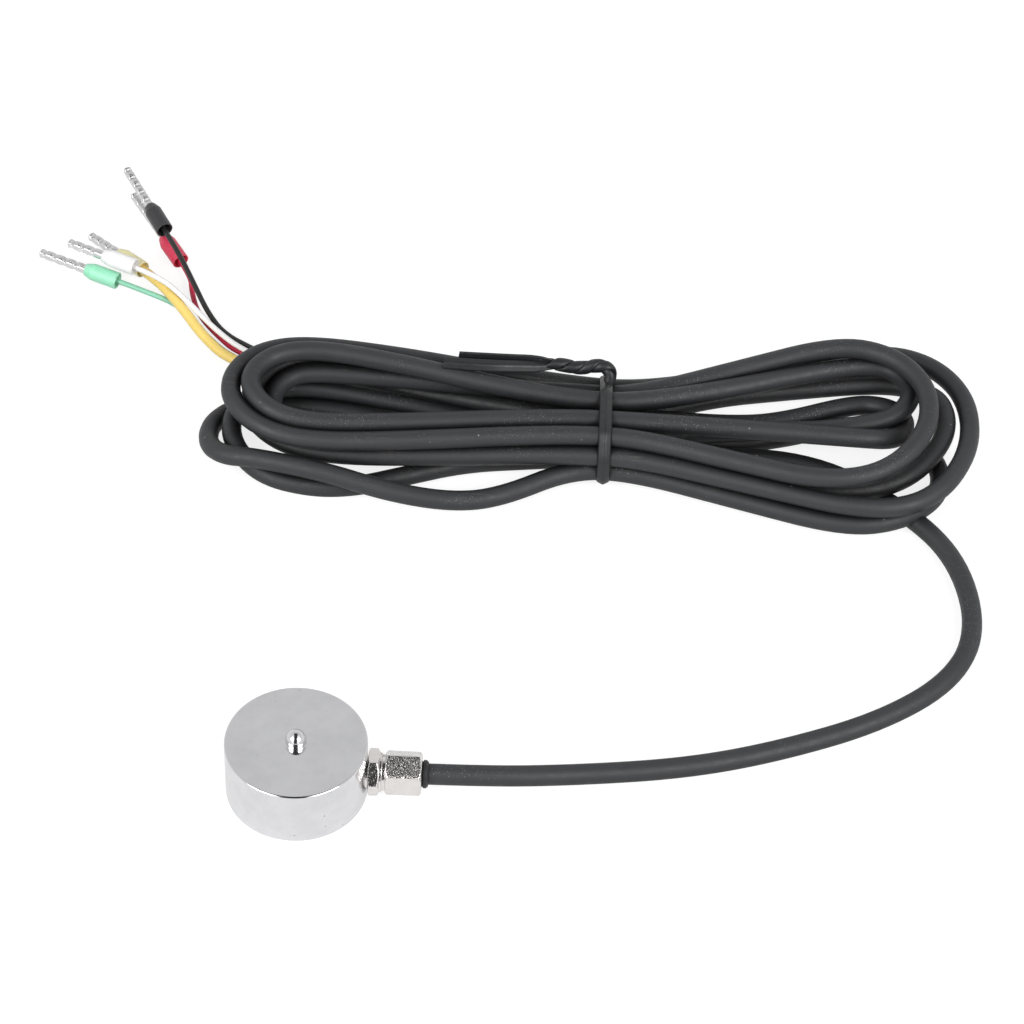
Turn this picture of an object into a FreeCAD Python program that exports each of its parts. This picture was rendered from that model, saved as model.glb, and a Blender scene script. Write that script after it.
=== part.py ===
import FreeCAD, Part
import math
import os
from types import SimpleNamespace

import Sketcher
from FreeCAD import Placement, Rotation, Vector

# Miniature button load cell with its gland, cable, tied hank of cable and ferruled wires.
# Millimetres. The origin is the centre of the body's base, +Z is up and +X points out of the gland.

# Driving dimensions: name, value, what it measures
DIMENSIONS = [
    ("body_diameter", 20.0, "outside of the turned body"),
    ("body_height", 9.6, "base to lid"),
    ("body_wall", 1.8, "wall round the cavity"),
    ("edge_chamfer", 0.25, "broken edge of lid and base"),
    ("diaphragm_thickness", 1.1, "lid over the cavity"),
    ("boss_diameter", 4.4, "rigid centre under the lid"),
    ("boss_depth", 1.2, "rigid centre below the diaphragm"),
    ("button_diameter", 3.0, "load button"),
    ("button_shank", 0.55, "straight part of the load button"),
    ("dome_height", 1.5, "rounded part of the load button"),
    ("cover_diameter", 17.4, "disc that closes the base"),
    ("cover_thickness", 1.2, "disc that closes the base"),
    ("cover_clearance", 0.04, "gap round the cover"),
    ("gauge_length", 2.6, "foil strain gauge, radial"),
    ("gauge_width", 1.8, "foil strain gauge, across"),
    ("gauge_thickness", 0.12, "foil strain gauge"),
    ("gauge_radius", 5.2, "gauge centre from the axis"),
    ("board_length", 6.4, "terminal board along X"),
    ("board_width", 7.0, "terminal board along Y"),
    ("board_thickness", 0.8, "terminal board"),
    ("board_offset", 1.6, "terminal board centre from the axis, towards the gland"),
    ("pad_pitch", 1.2, "solder holes along the board"),
    ("pad_diameter", 0.5, "solder hole"),
    ("pad_inset", 0.9, "solder holes from the board's edge"),
    ("core_drop", 1.8, "length over which the cores come down to the board"),
    ("resistor_length", 2.0, "trim resistor"),
    ("resistor_width", 1.25, "trim resistor"),
    ("resistor_height", 0.55, "trim resistor"),
    ("resistor_pitch", 3.2, "between the trim resistors"),
    ("resistor_offset", 1.6, "trim resistors behind the board's centre"),
    ("gland_axis_height", 3.8, "gland axis above the base"),
    ("gland_seat", 9.7, "spot face from the body axis"),
    ("spot_face_diameter", 7.0, "flat that the gland sits on"),
    ("port_diameter", 4.0, "hole in the body wall"),
    ("port_clearance", 0.05, "gap round the gland's stub"),
    ("stub_length", 2.2, "gland stub inside the wall"),
    ("hex_width", 5.9, "gland hexagon across flats"),
    ("hex_length", 1.95, "gland hexagon"),
    ("hex_turn", 18.5, "turn of the gland hexagon, degrees"),
    ("hex_break", 0.3, "chamfer on the hexagons, along the axis"),
    ("hex_land", 0.08, "end faces of the hexagons inside their flats"),
    ("neck_diameter", 5.6, "round neck between hexagon and nut"),
    ("neck_length", 0.8, "round neck between hexagon and nut"),
    ("sleeve_diameter", 4.4, "gland sleeve inside the nut"),
    ("sleeve_length", 3.0, "gland sleeve inside the nut"),
    ("nut_width", 5.7, "clamping nut across flats"),
    ("nut_length", 5.1, "clamping nut"),
    ("nut_turn", 51.5, "turn of the clamping nut, degrees"),
    ("nut_clearance", 0.05, "gap round sleeve and seal in the nut"),
    ("seal_flange", 0.8, "seal's flange in front of the sleeve"),
    ("seal_lip_diameter", 4.0, "seal's lip through the nut"),
    ("seal_lip_reach", 0.93, "seal's lip past the nut"),
    ("cable_diameter", 3.0, "cable jacket"),
    ("cable_clearance", 0.1, "gap round the cable in the gland"),
    ("cable_start", 12.0, "jacket's inner end from the body axis"),
    ("cable_straight", 14.0, "straight stretch out of the gland"),
    ("core_diameter", 0.7, "insulated core inside the cable"),
    ("core_circle", 1.5, "circle that the cores lie on"),
    ("hank_x", 41.7, "tie's place along X"),
    ("hank_y", 68.4, "tie's place along Y"),
    ("hank_waist", 20.4, "bundle width at the tie"),
    ("hank_waist_height", 9.5, "bundle height at the tie"),
    ("hank_left_reach", 61.0, "tie to the left end"),
    ("hank_right_reach", 56.9, "tie to the right end"),
    ("hank_left_width", 32.0, "left loops"),
    ("hank_right_width", 36.2, "right loops"),
    ("hank_left_shift", 1.2, "left loops nearer to the front than the tie"),
    ("hank_height", 11.2, "bundle height at the loops"),
    ("hank_top_round", 3.0, "rounding along the top"),
    ("hank_base_round", 1.2, "rounding along the base"),
    ("hank_saddle_radius", 300.0, "dip of the top towards the tie"),
    ("slot_length", 16.0, "slot for the lead, from its end outwards"),
    ("eye_length", 34.0, "open eye of the loops"),
    ("eye_width", 8.0, "open eye of the loops"),
    ("eye_depth", 4.5, "open eye of the loops"),
    ("eye_distance", 34.0, "tie to the middle of each eye"),
    ("eye_shift", 3.4, "eyes nearer to the back than the tie"),
    ("tie_width", 1.9, "flat strip of the twist tie"),
    ("tie_thickness", 0.9, "flat strip of the twist tie"),
    ("tie_clearance", 0.1, "gap between tie and bundle"),
    ("back_shoulder_start", 3.5, "bundle's back shoulder from the middle of the tie"),
    ("back_shoulder_drop", 4.1, "height that the bundle's back shoulder loses"),
    ("front_shoulder_start", 6.8, "bundle's front shoulder from the middle of the tie"),
    ("front_shoulder_drop", 2.2, "height that the bundle's front shoulder loses"),
    ("shoulder_radius", 60.0, "dip of the bundle's shoulders towards the tie"),
    ("twist_diameter", 2.0, "twisted pair of the tie"),
    ("tail_diameter", 1.1, "free ends of the tie"),
    ("wire_diameter", 0.85, "insulated wire"),
    ("screen_diameter", 1.6, "sleeved screen wire"),
    ("collar_diameter", 2.7, "ferrule collar"),
    ("collar_length", 5.6, "ferrule collar"),
    ("collar_cone_length", 1.3, "narrowing front of the collar"),
    ("collar_nose_diameter", 1.9, "front of the collar"),
    ("collar_bore", 2.0, "wire side of the collar"),
    ("funnel_diameter", 2.3, "open back of the collar"),
    ("funnel_length", 0.8, "open back of the collar"),
    ("wire_depth", 3.0, "wire inside the collar"),
    ("pin_width", 1.25, "crimped pin across flats"),
    ("pin_corner", 0.3, "crimped pin's broken corner"),
    ("pin_reach_black", 9.2, "black ferrule's pin in front of the collar"),
    ("pin_reach_white", 6.2, "white ferrule's pin in front of the collar"),
    ("pin_reach_red", 10.4, "red ferrule's pin in front of the collar"),
    ("pin_reach_green", 8.0, "green ferrule's pin in front of the collar"),
    ("pin_reach_yellow", 6.5, "yellow ferrule's pin in front of the collar"),
    ("pin_clearance", 0.03, "gap round the pin in the collar"),
    ("crimp_count", 3, "crimp notches along the pin"),
    ("crimp_pitch", 1.8, "crimp notches along the pin"),
    ("crimp_width", 0.7, "crimp notch"),
    ("crimp_depth", 0.16, "crimp notch"),
    ("crimp_start", 0.9, "first notch from the pin's tip"),
]

# Route of the lead past its straight stretch, down to the floor and round to the hank
LEAD_ROUTE = [
    (39.5, 2.4, 2.2),
    (54.4, 5.0, 1.55),
    (67.2, 8.7, 1.55),
    (82.2, 15.1, 1.55),
    (93.0, 23.6, 1.55),
    (97.0, 33.9, 1.55),
    (94.5, 47.6, 1.55),
    (86.8, 57.1, 1.55),
]

# Routes of the wires from the cable's far end under the hank to the ends inside their collars
WIRE_ROUTES = {
    "black": [
        (-8.6, 81.9, 2.1),
        (-13.1, 85.2, 1.45),
        (-17.7, 88.6, 0.95),
        (-20.6, 92.7, 1.4),
        (-23.1, 97.3, 3.0),
        (-26.15, 103.24, 4.37),
        (-30.1, 110.15, 4.9),
    ],
    "white": [
        (-9.2, 81.0, 2.4),
        (-14.4, 84.0, 2.1),
        (-19.1, 88.6, 1.8),
        (-24.2, 93.9, 3.1),
        (-28.63, 97.71, 4.1),
        (-35.29, 100.42, 4.36),
    ],
    "red": [
        (-8.6, 82.0, 1.0),
        (-14.9, 84.4, 0.6),
        (-19.1, 88.9, 0.56),
        (-22.2, 93.2, 0.56),
        (-23.6, 97.8, 0.75),
        (-24.0, 101.2, 1.1),
        (-27.5, 106.5, 1.75),
    ],
    "green": [
        (-9.1, 81.1, 0.6),
        (-15.7, 83.4, 0.54),
        (-20.6, 88.5, 0.54),
        (-24.8, 94.7, 0.54),
        (-30.63, 97.25, 1.0),
        (-38.13, 100.04, 1.56),
    ],
    "yellow": [
        (-9.8, 80.1, 1.45),
        (-16.2, 82.3, 1.3),
        (-21.0, 87.5, 1.5),
        (-24.6, 92.8, 2.2),
        (-29.33, 99.6, 1.75),
        (-33.89, 103.5, 1.47),
    ],
}

# Twisted pair of the tie and its two free ends
TWIST_ROUTE = [(42.4, 75.4, 9.2), (40.2, 76.4, 9.9), (36.8, 76.4, 9.4), (32.9, 77.1, 9.6)]
TAIL_ROUTES = [
    [(33.6, 77.3, 9.6), (27.0, 76.7, 10.5), (19.2, 76.2, 11.1)],
    [(33.6, 76.8, 9.5), (28.7, 75.0, 10.3), (23.4, 73.9, 11.1), (17.0, 74.1, 11.2)],
]

# Half outline of a lobe of the hank, from tie to end: share of its reach, share of its swell past the waist
LOBE_SHAPE = [(0.26, 0.36), (0.5, 0.86), (0.72, 1.0), (0.9, 0.72), (0.985, -0.4)]
LOBE_SHIFT_SHARE = 0.5

doc = FreeCAD.newDocument("button_load_cell")
sheet = doc.addObject("Spreadsheet::Sheet", "dimensions")


class Size:
    """A number from the sheet, together with the expression that gives it."""

    def __init__(self, value, text):
        self.value = float(value)
        self.text = text

    def joined(self, other, sign, value):
        return Size(value, f"({self.text} {sign} {other.text})")

    def __add__(self, other):
        other = as_size(other)
        return self.joined(other, "+", self.value + other.value)

    def __sub__(self, other):
        other = as_size(other)
        return self.joined(other, "-", self.value - other.value)

    def __mul__(self, other):
        other = as_size(other)
        return self.joined(other, "*", self.value * other.value)

    def __truediv__(self, other):
        other = as_size(other)
        return self.joined(other, "/", self.value / other.value)

    def __neg__(self):
        return Size(-self.value, f"(-{self.text})")

    def diagonal(self, other):
        """Long side of a right triangle with these two short sides."""
        squares = self * self + other * other
        return Size(math.sqrt(squares.value), f"sqrt({squares.text})")


def as_size(number):
    """Gives a plain number the form of a sheet value."""
    return number if isinstance(number, Size) else Size(number, repr(float(number)))


def read_dimensions():
    """Fills the sheet and returns its values by name."""
    for row, (name, value, note) in enumerate(DIMENSIONS, 1):
        sheet.set(f"A{row}", note)
        sheet.set(f"B{row}", str(value))
        sheet.setAlias(f"B{row}", name)
    doc.recompute()
    sizes = {name: Size(sheet.get(name), f"dimensions.{name}") for name, _, _ in DIMENSIONS}
    return SimpleNamespace(**sizes)


dim = read_dimensions()
ZERO = as_size(0)
body_radius = dim.body_diameter / 2
ceiling = dim.body_height - dim.diaphragm_thickness
cavity_radius = body_radius - dim.body_wall
nut_start = dim.hex_length + dim.neck_length
nut_end = nut_start + dim.nut_length
sleeve_end = nut_start + dim.sleeve_length
subparts = []


# Helpers for bound features


def keep(feature, label):
    """Marks a feature as a finished sub-part."""
    feature.Label = label
    subparts.append(feature)
    return feature


def bind(feature, **properties):
    """Binds properties of a feature to the sheet."""
    for name, amount in properties.items():
        feature.setExpression(name, as_size(amount).text)
    return feature


def lift(feature, height):
    """Moves a feature along its own Z by a sheet value."""
    feature.setExpression("Placement.Base.z", as_size(height).text)
    return feature


def new_body(name):
    return doc.addObject("PartDesign::Body", name)


def origin_feature(body, role):
    return next(item for item in body.Origin.OriginFeatures if item.Role == role)


def new_sketch(body, name, plane, offset=None):
    sketch = body.newObject("Sketcher::SketchObject", name)
    sketch.AttachmentSupport = [(origin_feature(body, plane), "")]
    sketch.MapMode = "FlatFace"
    if offset is not None:
        sketch.setExpression("AttachmentOffset.Base.z", offset.text)
    return sketch


def fix_point(sketch, geometry, point, x, y):
    """Holds a point of a sketch at sheet values from the origin."""
    for direction, place in (("X", x), ("Y", y)):
        limit = Sketcher.Constraint(f"Distance{direction}", -1, 1, geometry, point, place.value)
        index = sketch.addConstraint(limit)
        name = f"place_{direction.lower()}_{geometry}_{point}"
        sketch.renameConstraint(index, name)
        sketch.setExpression(f"Constraints.{name}", place.text)


def dome_arc(start, end):
    """Arc about a centre on the sketch's vertical axis, from the flank up to the axis."""
    rise = end.y - start.y
    centre_height = start.y + (rise * rise - start.x * start.x) / (2 * rise)
    centre = Vector(0, centre_height, 0)
    circle = Part.Circle(centre, Vector(0, 0, 1), end.y - centre_height)
    start_angle = math.atan2(start.y - centre_height, start.x)
    return Part.ArcOfCircle(circle, start_angle, math.pi / 2)


def draw_outline(sketch, corners, dome=None):
    """Draws a closed outline; the segment numbered dome is an arc about the vertical axis."""
    corners = [(as_size(x), as_size(y)) for x, y in corners]
    points = [Vector(x.value, y.value, 0) for x, y in corners]
    count = len(points)
    for index in range(count):
        start = points[index]
        end = points[(index + 1) % count]
        edge = dome_arc(start, end) if index == dome else Part.LineSegment(start, end)
        sketch.addGeometry(edge, False)
    for index in range(count):
        sketch.addConstraint(Sketcher.Constraint("Coincident", index, 2, (index + 1) % count, 1))
    for index, (x, y) in enumerate(corners):
        fix_point(sketch, index, 1, x, y)
    if dome is not None:
        sketch.addConstraint(Sketcher.Constraint("PointOnObject", dome, 3, -2))


def draw_circle(sketch, x, y, radius):
    circle = Part.Circle(Vector(x.value, y.value, 0), Vector(0, 0, 1), radius.value)
    index = sketch.addGeometry(circle, False)
    fix_point(sketch, index, 3, x, y)
    limit = sketch.addConstraint(Sketcher.Constraint("Radius", index, radius.value))
    sketch.renameConstraint(limit, "radius")
    sketch.setExpression("Constraints.radius", radius.text)


def revolve(body, name, corners, dome=None):
    sketch = new_sketch(body, f"{name}_profile", "XZ_Plane")
    draw_outline(sketch, corners, dome)
    turned = body.newObject("PartDesign::Revolution", name)
    turned.Profile = sketch
    turned.ReferenceAxis = (sketch, ["V_Axis"])
    turned.Angle = 360
    return turned


def pocket(body, name, sketch, depth=None, reverse=False):
    cut = body.newObject("PartDesign::Pocket", name)
    cut.Profile = sketch
    cut.Reversed = reverse
    if depth is None:
        cut.Type = "ThroughAll"
    else:
        cut.setExpression("Length", depth.text)
    return cut


def cylinder(name, radius, height, start=0):
    rod = doc.addObject("Part::Cylinder", name)
    bind(rod, Radius=radius, Height=height)
    return lift(rod, start)


def cone(name, radius, end_radius, height, start=0):
    taper = doc.addObject("Part::Cone", name)
    bind(taper, Radius1=radius, Radius2=end_radius, Height=height)
    return lift(taper, start)


def hexagon(name, width, height, turn, start=0):
    prism = doc.addObject("Part::Prism", name)
    prism.Polygon = 6
    bind(prism, Circumradius=width / as_size(math.sqrt(3)), Height=height)
    prism.setExpression("Placement.Rotation.Angle", turn.text)
    return lift(prism, start)


def fused(name, pieces):
    whole = doc.addObject("Part::MultiFuse", name)
    whole.Shapes = pieces
    whole.Refine = True
    return whole


def common(name, base, tool):
    shared = doc.addObject("Part::Common", name)
    shared.Base = base
    shared.Tool = tool
    return shared


def difference(name, base, tool):
    rest = doc.addObject("Part::Cut", name)
    rest.Base = base
    rest.Tool = tool
    return rest


def along_gland(feature):
    """Turns a feature built along +Z from the spot face to lie along the gland's axis."""
    feature.Placement = Placement(Vector(0, 0, 0), Rotation(Vector(0, 1, 0), 90))
    feature.setExpression("Placement.Base.x", dim.gland_seat.text)
    feature.setExpression("Placement.Base.z", dim.gland_axis_height.text)
    return feature


# Cords: straight runs joined by tangent arcs

ARC_SHARE = 0.45
VOLUME_ERROR_SHARE = 0.01


def cord_path(points, name):
    """Wire of straight runs and tangent arcs along a route."""
    edges = []
    radii = []
    last = points[0]
    for before, corner, after in zip(points, points[1:], points[2:]):
        inward = (corner - before).normalize()
        outward = (after - corner).normalize()
        turn = inward.getAngle(outward)
        reach = ARC_SHARE * min(before.distanceToPoint(corner), corner.distanceToPoint(after))
        radius = reach / math.tan(turn / 2)
        inside = (outward - inward).normalize()
        centre = corner + inside * (radius / math.cos(turn / 2))
        start = corner - inward * reach
        end = corner + outward * reach
        edges.append(Part.LineSegment(last, start).toShape())
        edges.append(Part.Arc(start, centre - inside * radius, end).toShape())
        radii.append(round(radius, 1))
        last = end
    edges.append(Part.LineSegment(last, points[-1]).toShape())
    print(name, "bend radii", radii)
    return Part.Wire(edges)


def cord_solid(points, diameter, name):
    """Round solid along a route."""
    path = cord_path(points, name)
    direction = points[1] - points[0]
    section = Part.Wire(Part.Circle(points[0], direction, diameter / 2).toShape())
    solid = path.makePipeShell([section], True, False)
    expected = math.pi * diameter ** 2 / 4 * path.Length
    if abs(solid.Volume / expected - 1) > VOLUME_ERROR_SHARE:
        raise ValueError(f"{name}: volume {solid.Volume} instead of {expected}")
    return solid


def shaped(name, shape):
    """Feature that holds a finished shape."""
    feature = doc.addObject("Part::Feature", name)
    feature.Shape = shape
    return feature


def vectors(route):
    return [Vector(*point) for point in route]


# Load cell body and what it holds


def make_load_cell_body():
    body = new_body("load_cell_body")
    boss_radius = dim.boss_diameter / 2
    button_radius = dim.button_diameter / 2
    recess_radius = dim.cover_diameter / 2 + dim.cover_clearance
    boss_base = ceiling - dim.boss_depth
    rim = body_radius - dim.edge_chamfer
    lid_edge = dim.body_height - dim.edge_chamfer
    shank_top = dim.body_height + dim.button_shank
    corners = [
        (ZERO, boss_base),
        (boss_radius, boss_base),
        (boss_radius, ceiling),
        (cavity_radius, ceiling),
        (cavity_radius, dim.cover_thickness),
        (recess_radius, dim.cover_thickness),
        (recess_radius, ZERO),
        (rim, ZERO),
        (body_radius, dim.edge_chamfer),
        (body_radius, lid_edge),
        (rim, dim.body_height),
        (button_radius, dim.body_height),
        (button_radius, shank_top),
        (ZERO, shank_top + dim.dome_height),
    ]
    revolve(body, "turned_body", corners, dome=12)
    port_sketch = new_sketch(body, "port_circle", "YZ_Plane")
    draw_circle(port_sketch, ZERO, dim.gland_axis_height, dim.port_diameter / 2)
    pocket(body, "side_port", port_sketch, reverse=True)
    spot_sketch = new_sketch(body, "spot_face_circle", "YZ_Plane", dim.gland_seat)
    draw_circle(spot_sketch, ZERO, dim.gland_axis_height, dim.spot_face_diameter / 2)
    pocket(body, "spot_face", spot_sketch, reverse=True)
    keep(body, "load_cell_body")


def make_base_cover():
    body = new_body("base_cover")
    sketch = new_sketch(body, "cover_circle", "XY_Plane")
    draw_circle(sketch, ZERO, ZERO, dim.cover_diameter / 2)
    pad = body.newObject("PartDesign::Pad", "cover_disc")
    pad.Profile = sketch
    bind(pad, Length=dim.cover_thickness)
    keep(body, "base_cover")


def make_strain_gauges():
    """Four foil gauges under the diaphragm, a quarter turn apart."""
    for number in range(4):
        gauge = doc.addObject("Part::Box", f"strain_gauge_{number + 1}")
        bind(gauge, Length=dim.gauge_length, Width=dim.gauge_width, Height=dim.gauge_thickness)
        turn = Rotation(Vector(0, 0, 1), 45 + 90 * number)
        inner = dim.gauge_radius.value - dim.gauge_length.value / 2
        corner = Vector(inner, -dim.gauge_width.value / 2, 0)
        gauge.Placement = Placement(turn.multVec(corner), turn)
        lift(gauge, ceiling - dim.gauge_thickness)
        keep(gauge, f"strain_gauge_{number + 1}")


def make_terminal_board():
    """Solder board on the cover, with a row of holes for the cores near the gland."""
    body = new_body("terminal_board")
    half_width = dim.board_width / 2
    near = dim.board_offset - dim.board_length / 2
    far = dim.board_offset + dim.board_length / 2
    outline = new_sketch(body, "board_outline", "XY_Plane", dim.cover_thickness)
    draw_outline(outline, [(near, -half_width), (far, -half_width), (far, half_width), (near, half_width)])
    pad = body.newObject("PartDesign::Pad", "board_plate")
    pad.Profile = outline
    bind(pad, Length=dim.board_thickness)
    hole = new_sketch(body, "solder_hole_circle", "XY_Plane", dim.cover_thickness)
    first_hole = -dim.pad_pitch * ((len(WIRE_ROUTES) - 1) / 2)
    draw_circle(hole, far - dim.pad_inset, first_hole, dim.pad_diameter / 2)
    first = pocket(body, "solder_hole", hole, depth=dim.board_thickness, reverse=True)
    row = body.newObject("PartDesign::LinearPattern", "solder_holes")
    row.Originals = [first]
    row.Direction = (origin_feature(body, "Y_Axis"), [""])
    row.Occurrences = len(WIRE_ROUTES)
    row.setExpression("Length", (dim.pad_pitch * (len(WIRE_ROUTES) - 1)).text)
    body.Tip = row
    return keep(body, "terminal_board")


def make_trim_resistors():
    board_top = dim.cover_thickness + dim.board_thickness
    for number, side in ((1, -1), (2, 1)):
        resistor = doc.addObject("Part::Box", f"trim_resistor_{number}")
        bind(resistor, Length=dim.resistor_length, Width=dim.resistor_width, Height=dim.resistor_height)
        across = dim.resistor_pitch * (side / 2) - dim.resistor_width / 2
        along = dim.board_offset - dim.resistor_offset - dim.resistor_length / 2
        resistor.setExpression("Placement.Base.x", along.text)
        resistor.setExpression("Placement.Base.y", across.text)
        lift(resistor, board_top)
        keep(resistor, f"trim_resistor_{number}")


def make_inner_leads(board):
    """Cores from the end of the jacket in the gland to the board, in order across the board."""
    board_top = dim.cover_thickness.value + dim.board_thickness.value
    pad_x = (dim.board_offset + dim.board_length / 2 - dim.pad_inset).value
    bend_x = pad_x + dim.core_drop.value
    circle = dim.core_circle.value / 2
    order = ["white", "red", "black", "green", "yellow"]
    turns = [162, 234, 90, 306, 18]
    for number, (colour, turn) in enumerate(zip(order, turns)):
        across = circle * math.cos(math.radians(turn))
        height = dim.gland_axis_height.value + circle * math.sin(math.radians(turn))
        pad_y = dim.pad_pitch.value * (number - (len(order) - 1) / 2)
        start = Vector(dim.cable_start.value, across, height)
        bend = Vector(bend_x, across, height)
        solder = Vector(pad_x, pad_y, board_top)
        name = f"inner_lead_{colour}"
        tube = shaped(f"{name}_tube", cord_solid([start, bend, solder], dim.core_diameter.value, name))
        keep(difference(name, tube, board), name)


# Cable gland, built along +Z from the spot face


def gland_hexagon(name, width, length, turn, start, broken_end):
    """Hexagon whose corners are broken at the end away from the body."""
    reach = width / as_size(math.sqrt(3))
    prism = hexagon(f"{name}_prism", width, length, turn, start)
    straight = cylinder(f"{name}_round", reach, length - broken_end, start)
    nose_start = start + length - broken_end
    nose = cone(f"{name}_nose", reach, width / 2 - dim.hex_land, broken_end, nose_start)
    return common(f"{name}_hexagon", prism, fused(f"{name}_envelope", [straight, nose]))


def make_gland_body():
    stub_radius = dim.port_diameter / 2 - dim.port_clearance
    solids = [
        cylinder("gland_stub", stub_radius, dim.stub_length, -dim.stub_length),
        gland_hexagon("gland", dim.hex_width, dim.hex_length, dim.hex_turn, ZERO, dim.hex_break),
        cylinder("gland_neck", dim.neck_diameter / 2, dim.neck_length, dim.hex_length),
        cylinder("gland_sleeve", dim.sleeve_diameter / 2, dim.sleeve_length, nut_start),
    ]
    bore_radius = dim.cable_diameter / 2 + dim.cable_clearance
    bore = cylinder("gland_bore", bore_radius, sleeve_end + dim.stub_length, -dim.stub_length)
    whole = difference("gland_body", fused("gland_solid", solids), bore)
    keep(along_gland(whole), "gland_body")


def make_gland_nut():
    shape = gland_hexagon("nut", dim.nut_width, dim.nut_length, dim.nut_turn, nut_start, dim.hex_break)
    chamber_radius = dim.sleeve_diameter / 2 + dim.nut_clearance
    chamber_length = dim.sleeve_length + dim.seal_flange + dim.nut_clearance
    mouth_radius = dim.seal_lip_diameter / 2 + dim.nut_clearance
    chamber = cylinder("nut_chamber", chamber_radius, chamber_length, nut_start)
    mouth = cylinder("nut_mouth", mouth_radius, dim.nut_length, nut_start)
    whole = difference("gland_nut", shape, fused("nut_hollow", [chamber, mouth]))
    keep(along_gland(whole), "gland_nut")


def make_gland_seal():
    flange = cylinder("seal_flange_disc", dim.sleeve_diameter / 2, dim.seal_flange, sleeve_end)
    lip_length = nut_end + dim.seal_lip_reach - sleeve_end
    lip = cylinder("seal_lip", dim.seal_lip_diameter / 2, lip_length, sleeve_end)
    bore = cylinder("seal_bore", dim.cable_diameter / 2, lip_length, sleeve_end)
    whole = difference("gland_seal", fused("seal_solid", [flange, lip]), bore)
    keep(along_gland(whole), "gland_seal")


# Lead, hank and tie


def lobe_edge(side, reach, width, shift, edge):
    """Points along the front or back edge of one lobe, from the tie outwards."""
    waist = dim.hank_waist.value / 2
    points = []
    for share, swell in LOBE_SHAPE:
        half = waist + (width / 2 - waist) * swell
        middle = dim.hank_y.value - shift * min(1.0, share / LOBE_SHIFT_SHARE)
        points.append(Vector(dim.hank_x.value + side * reach * share, middle + edge * half, 0))
    return points


def hank_outline():
    """Closed outline of the hank, round both lobes and in at the tie."""
    waist = Vector(0, dim.hank_waist.value / 2, 0)
    tie = Vector(dim.hank_x.value, dim.hank_y.value, 0)
    left_reach = dim.hank_left_reach.value
    left_shift = dim.hank_left_shift.value
    left = (-1, left_reach, dim.hank_left_width.value, left_shift)
    right = (1, dim.hank_right_reach.value, dim.hank_right_width.value, 0)
    points = [tie - waist]
    points += lobe_edge(*right, -1)
    points.append(tie + Vector(dim.hank_right_reach.value, 0, 0))
    points += reversed(lobe_edge(*right, 1))
    points.append(tie + waist)
    points += lobe_edge(*left, 1)
    points.append(tie - Vector(left_reach, left_shift, 0))
    points += reversed(lobe_edge(*left, -1))
    curve = Part.BSplineCurve()
    curve.interpolate(Points=points, PeriodicFlag=True)
    return Part.Wire(curve.toShape())


def make_cable_lead():
    axis_height = dim.gland_axis_height.value
    exit_points = [
        Vector(dim.cable_start.value, 0, axis_height),
        Vector((dim.cable_start + dim.cable_straight).value, 0, axis_height),
    ]
    solid = cord_solid(exit_points + vectors(LEAD_ROUTE), dim.cable_diameter.value, "cable_lead")
    keep(shaped("cable_lead", solid), "cable_lead")


def lead_slot():
    """Flat-walled slot that the end of the lead lies in, open to the floor and away from the hank."""
    before, end = vectors(LEAD_ROUTE)[-2:]
    width = dim.cable_diameter.value + 2 * dim.cable_clearance.value
    slot = Part.makeBox(dim.slot_length.value, width, width, Vector(0, -width / 2, -width / 2))
    floor_part = Part.makeBox(dim.slot_length.value, width, width, Vector(0, -width / 2, -width))
    slot = slot.fuse(floor_part).removeSplitter()
    slot.Placement = Placement(end, Rotation(Vector(1, 0, 0), before - end))
    return slot


def bundle_shoulder(edge, start, drop):
    """Wide cylinder that takes off the bundle's front or back shoulder, most of all under the tie."""
    radius = dim.shoulder_radius.value
    half = dim.hank_waist.value / 2
    inner = Vector(dim.hank_x.value, dim.hank_y.value + edge * start, dim.hank_waist_height.value)
    slope = Vector(0, edge * (half - start), -drop).normalize()
    outward = Vector(0, -edge * slope.z, edge * slope.y)
    reach = dim.hank_right_width.value
    foot = inner + outward * radius - slope * reach
    return Part.makeCylinder(radius, 2 * reach, foot, slope)


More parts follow.
